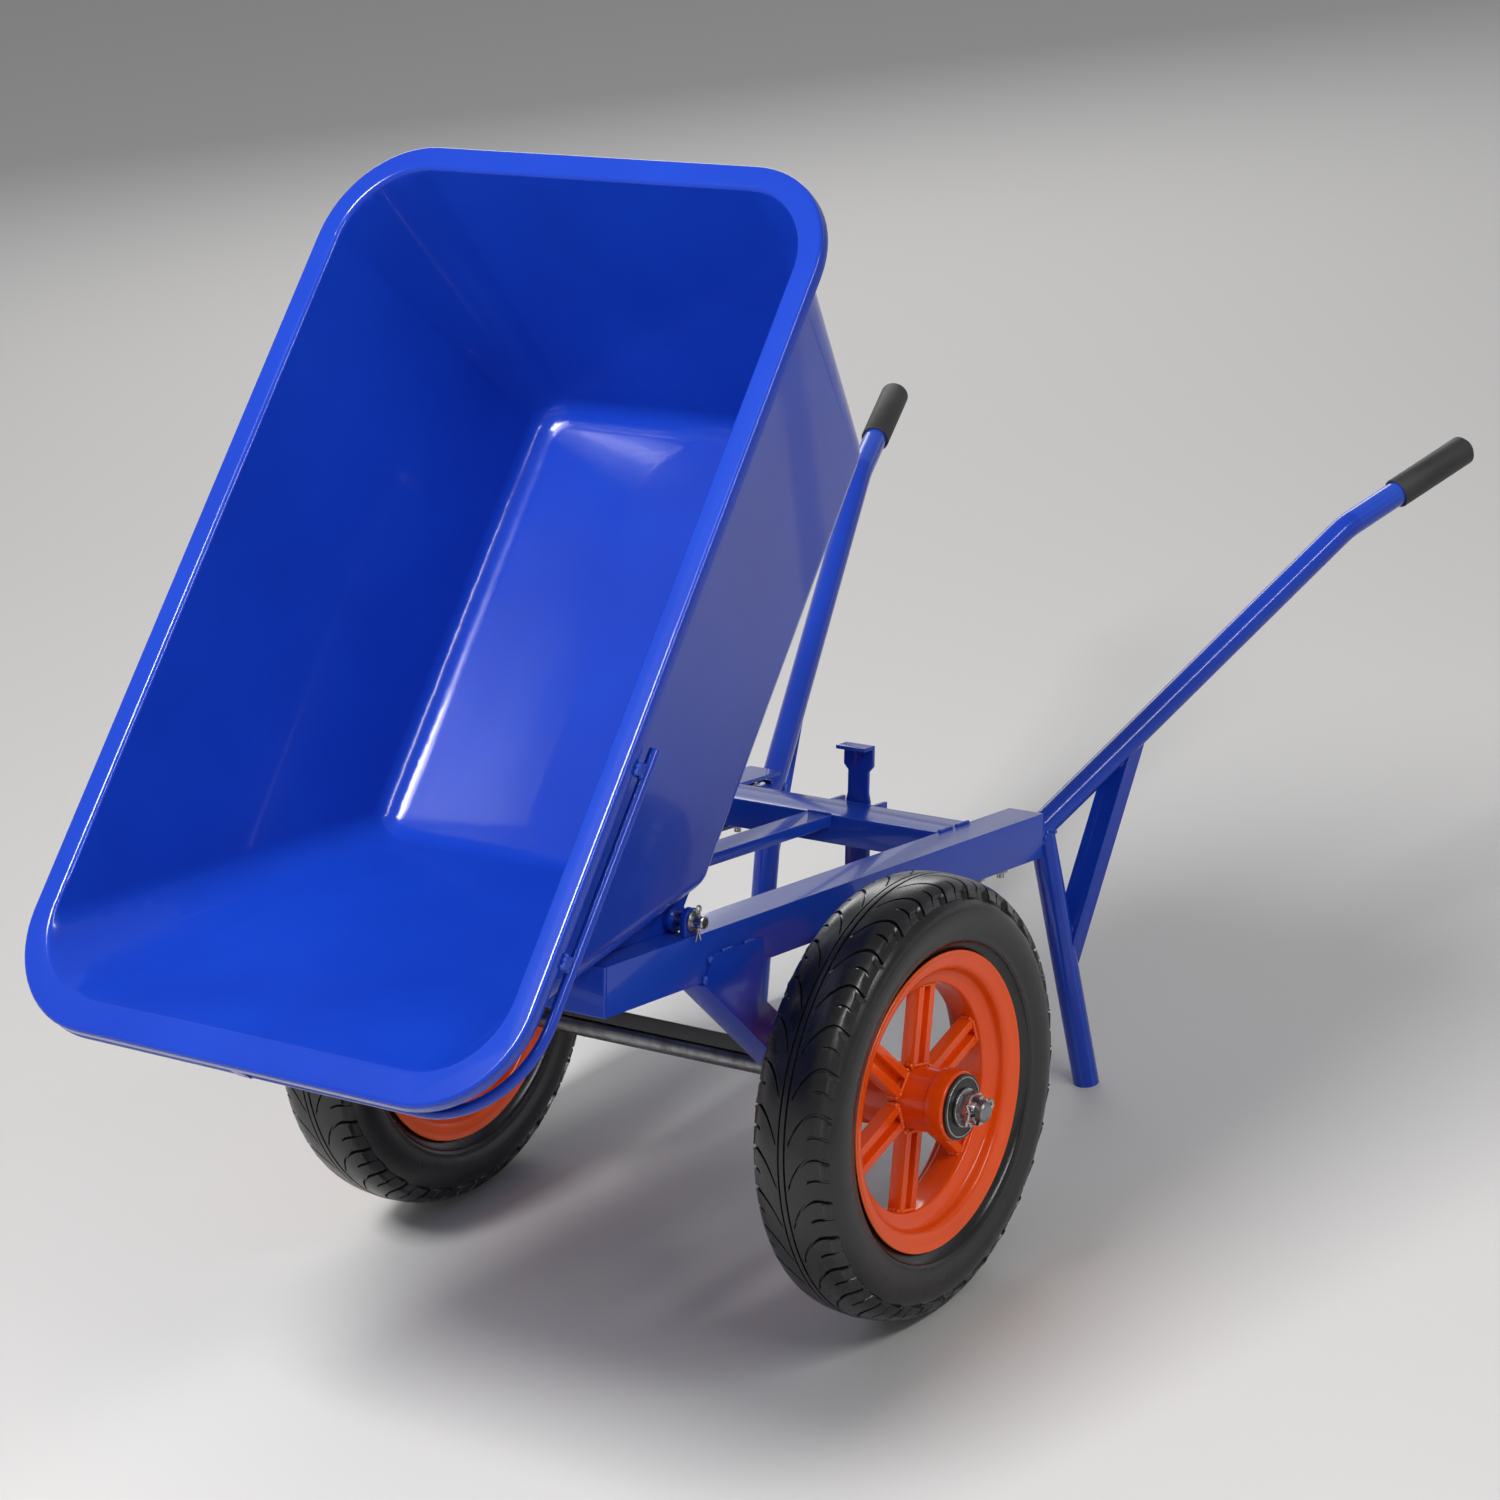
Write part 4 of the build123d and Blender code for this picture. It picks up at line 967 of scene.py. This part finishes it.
# %% Beads of the wheels
spoke_count, spoke_turn = 6, 7
half_spoke = 0.0138
outward_sides = (("left", -1), ("right", 1))
for side, way in outward_sides:
    beads = []
    middle = wheel_middle[side]
    for count in range(spoke_count):
        turn = lean + radians(spoke_turn + 360 / spoke_count * count)
        out = Vector((sin(turn), 0, cos(turn)))
        along = Vector((cos(turn), 0, -sin(turn)))
        for reach, radius in ((0.0312, 0.002), (0.1065, 0.0019)):
            for flank in (-1, 1):
                foot = middle + out * reach + along * flank * half_spoke
                ends = [foot + Vector((0, way * a, 0)) for a in (-0.002, 0.0105)]
                beads.append((ends, radius))
            foot = middle + out * (reach + 0.0002)
            across = [
                foot + along * place + Vector((0, way * 0.0112, 0))
                for place in (-0.012, 0.012)
            ]
            beads.append((across, radius * 0.8))
    make_welds(f"{side}_wheel_welds", f"{side}_wheel", "orange_paint", beads)

# %% Tacks of the bar under the lip
half_tack, skirt_side = 0.007, 0.2786
tack_beads = []
for way in (-1, 1):
    for place in (0.324, 0.15):
        for lift in (-0.013, -0.021):
            ends = [
                tray_axes @ Vector((place + shift, way * skirt_side, lift))
                for shift in (-half_tack, half_tack)
            ]
            tack_beads.append((ends, tube_bead))
make_welds("lip_bar_welds", "tray", "blue_paint", tack_beads)

# %% [markdown]
# ## Rings of the hub discs
# A thin bright ring holds each black dust disc in the hub. It is turned like the rim.

# %% Disc rings
for side, way in outward_sides:
    outline = [(60.0, 27.2), (60.6, 27.4), (60.8, 28.0), (60.6, 28.6), (60.0, 28.8)]
    ring = spin_outline(
        f"{side}_disc_ring",
        wheel_middle[side],
        [(way * a, r) for a, r in outline],
        steps=96,
    )
    finish_piece(ring, f"{side}_wheel", "zinc_steel")
    print(ring.name, "faces:", len(ring.data.polygons))

# %% [markdown]
# ## Floor, light and camera
# The barrow stands on a plain pale floor. A square lamp at the upper left gives the main
# light, a long narrow one at the right draws bright lines along tubes and edges, and a wide
# one behind makes the tops of the rails shine. Lamps with an area give soft shadows.


# %% Floor
half_floor = 40


def make_floor():
    shape = bmesh.new()
    bmesh.ops.create_grid(shape, x_segments=1, y_segments=1, size=half_floor)
    mesh = bpy.data.meshes.new("floor")
    shape.to_mesh(mesh)
    shape.free()
    floor = bpy.data.objects.new("floor", mesh)
    bpy.context.scene.collection.objects.link(floor)
    pale = bpy.data.materials.new("pale_floor")
    pale.use_nodes = True
    shader = next(n for n in pale.node_tree.nodes if n.type == "BSDF_PRINCIPLED")
    shader.inputs["Base Color"].default_value = (0.55, 0.54, 0.525, 1)
    shader.inputs["Roughness"].default_value = 0.7
    mesh.materials.append(pale)
    return floor


floor = make_floor()
print("floor made:", floor.name)


# %% Lamps
def add_lamp(name, place, size, power, aim=(-0.2, 0, 0.45)):
    lamp = bpy.data.lights.new(name, "AREA")
    lamp.shape = "RECTANGLE"
    lamp.size, lamp.size_y = size
    lamp.energy = power
    holder = bpy.data.objects.new(name, lamp)
    holder.location = place
    aim_way = Vector(aim) - Vector(place)
    holder.rotation_euler = aim_way.to_track_quat("-Z", "Y").to_euler()
    holder.visible_camera = False
    bpy.context.scene.collection.objects.link(holder)
    return holder


lamps = [
    add_lamp("key", (-2.4, 0.6, 3.4), (1.1, 1.1), 165),
    add_lamp("strip", (-0.6, -3.2, 3.2), (3.0, 0.35), 65),
    add_lamp("back", (3.3, 2.5, 1.9), (3.2, 1.0), 40),
]
print("lamps:", len(lamps))

# %% [markdown]
# A glossy surface that is seen at a low angle mirrors what is near the horizon. The world is
# therefore bright there and darker overhead, which gives pale rail tops and deep paint.

# %% World
world = bpy.data.worlds.new("studio")
world.use_nodes = True
sky = next(n for n in world.node_tree.nodes if n.type == "BACKGROUND")
sky.inputs["Color"].default_value = (0.94, 0.95, 1.0, 1)
direction = world.node_tree.nodes.new("ShaderNodeTexCoord")
height = world.node_tree.nodes.new("ShaderNodeSeparateXYZ")
brightness = add_node(
    world.node_tree,
    "ShaderNodeMapRange",
    interpolation_type="SMOOTHSTEP",
    From__Max=0.3,
    To__Min=0.85,
    To__Max=0.3,
)
connect = world.node_tree.links.new
connect(direction.outputs["Generated"], height.inputs["Vector"])
connect(height.outputs["Z"], brightness.inputs["Value"])
connect(brightness.outputs["Result"], sky.inputs["Strength"])
bpy.context.scene.world = world
bpy.context.scene.view_settings.view_transform = "Standard"
print("world made:", world.name)


# %% [markdown]
# The camera stands at the left front of the barrow, a little under four metres away, and
# looks down on it. It is turned with the lean of the chassis, so the wheels, the legs and
# the rails lie in the picture as they do when the chassis is level.


# %% Camera
turn_right, turn_up = 1.3 / 3931, 2.9 / 3931


def add_camera():
    ahead = Vector((0.7389, 0.5543, -0.3831))
    right = Vector((0.5590, -0.8218, -0.1110))
    up = Vector((0.3764, 0.1322, 0.9171))
    ahead = (ahead + right * turn_right + up * turn_up).normalized()
    right = ahead.cross(up).normalized()
    up = right.cross(ahead)
    camera = bpy.data.cameras.new("camera")
    camera.sensor_width = 36
    camera.lens = 94.35
    camera.clip_end = 50
    holder = bpy.data.objects.new("camera", camera)
    turn = Matrix([right, up, -ahead]).transposed().to_4x4()
    holder.matrix_world = Matrix.Translation((-2.90248, -2.1396, 1.9162)) @ turn
    bpy.context.scene.collection.objects.link(holder)
    bpy.context.scene.camera = holder
    return holder


camera = add_camera()
print("camera at", camera.matrix_world.translation[:])
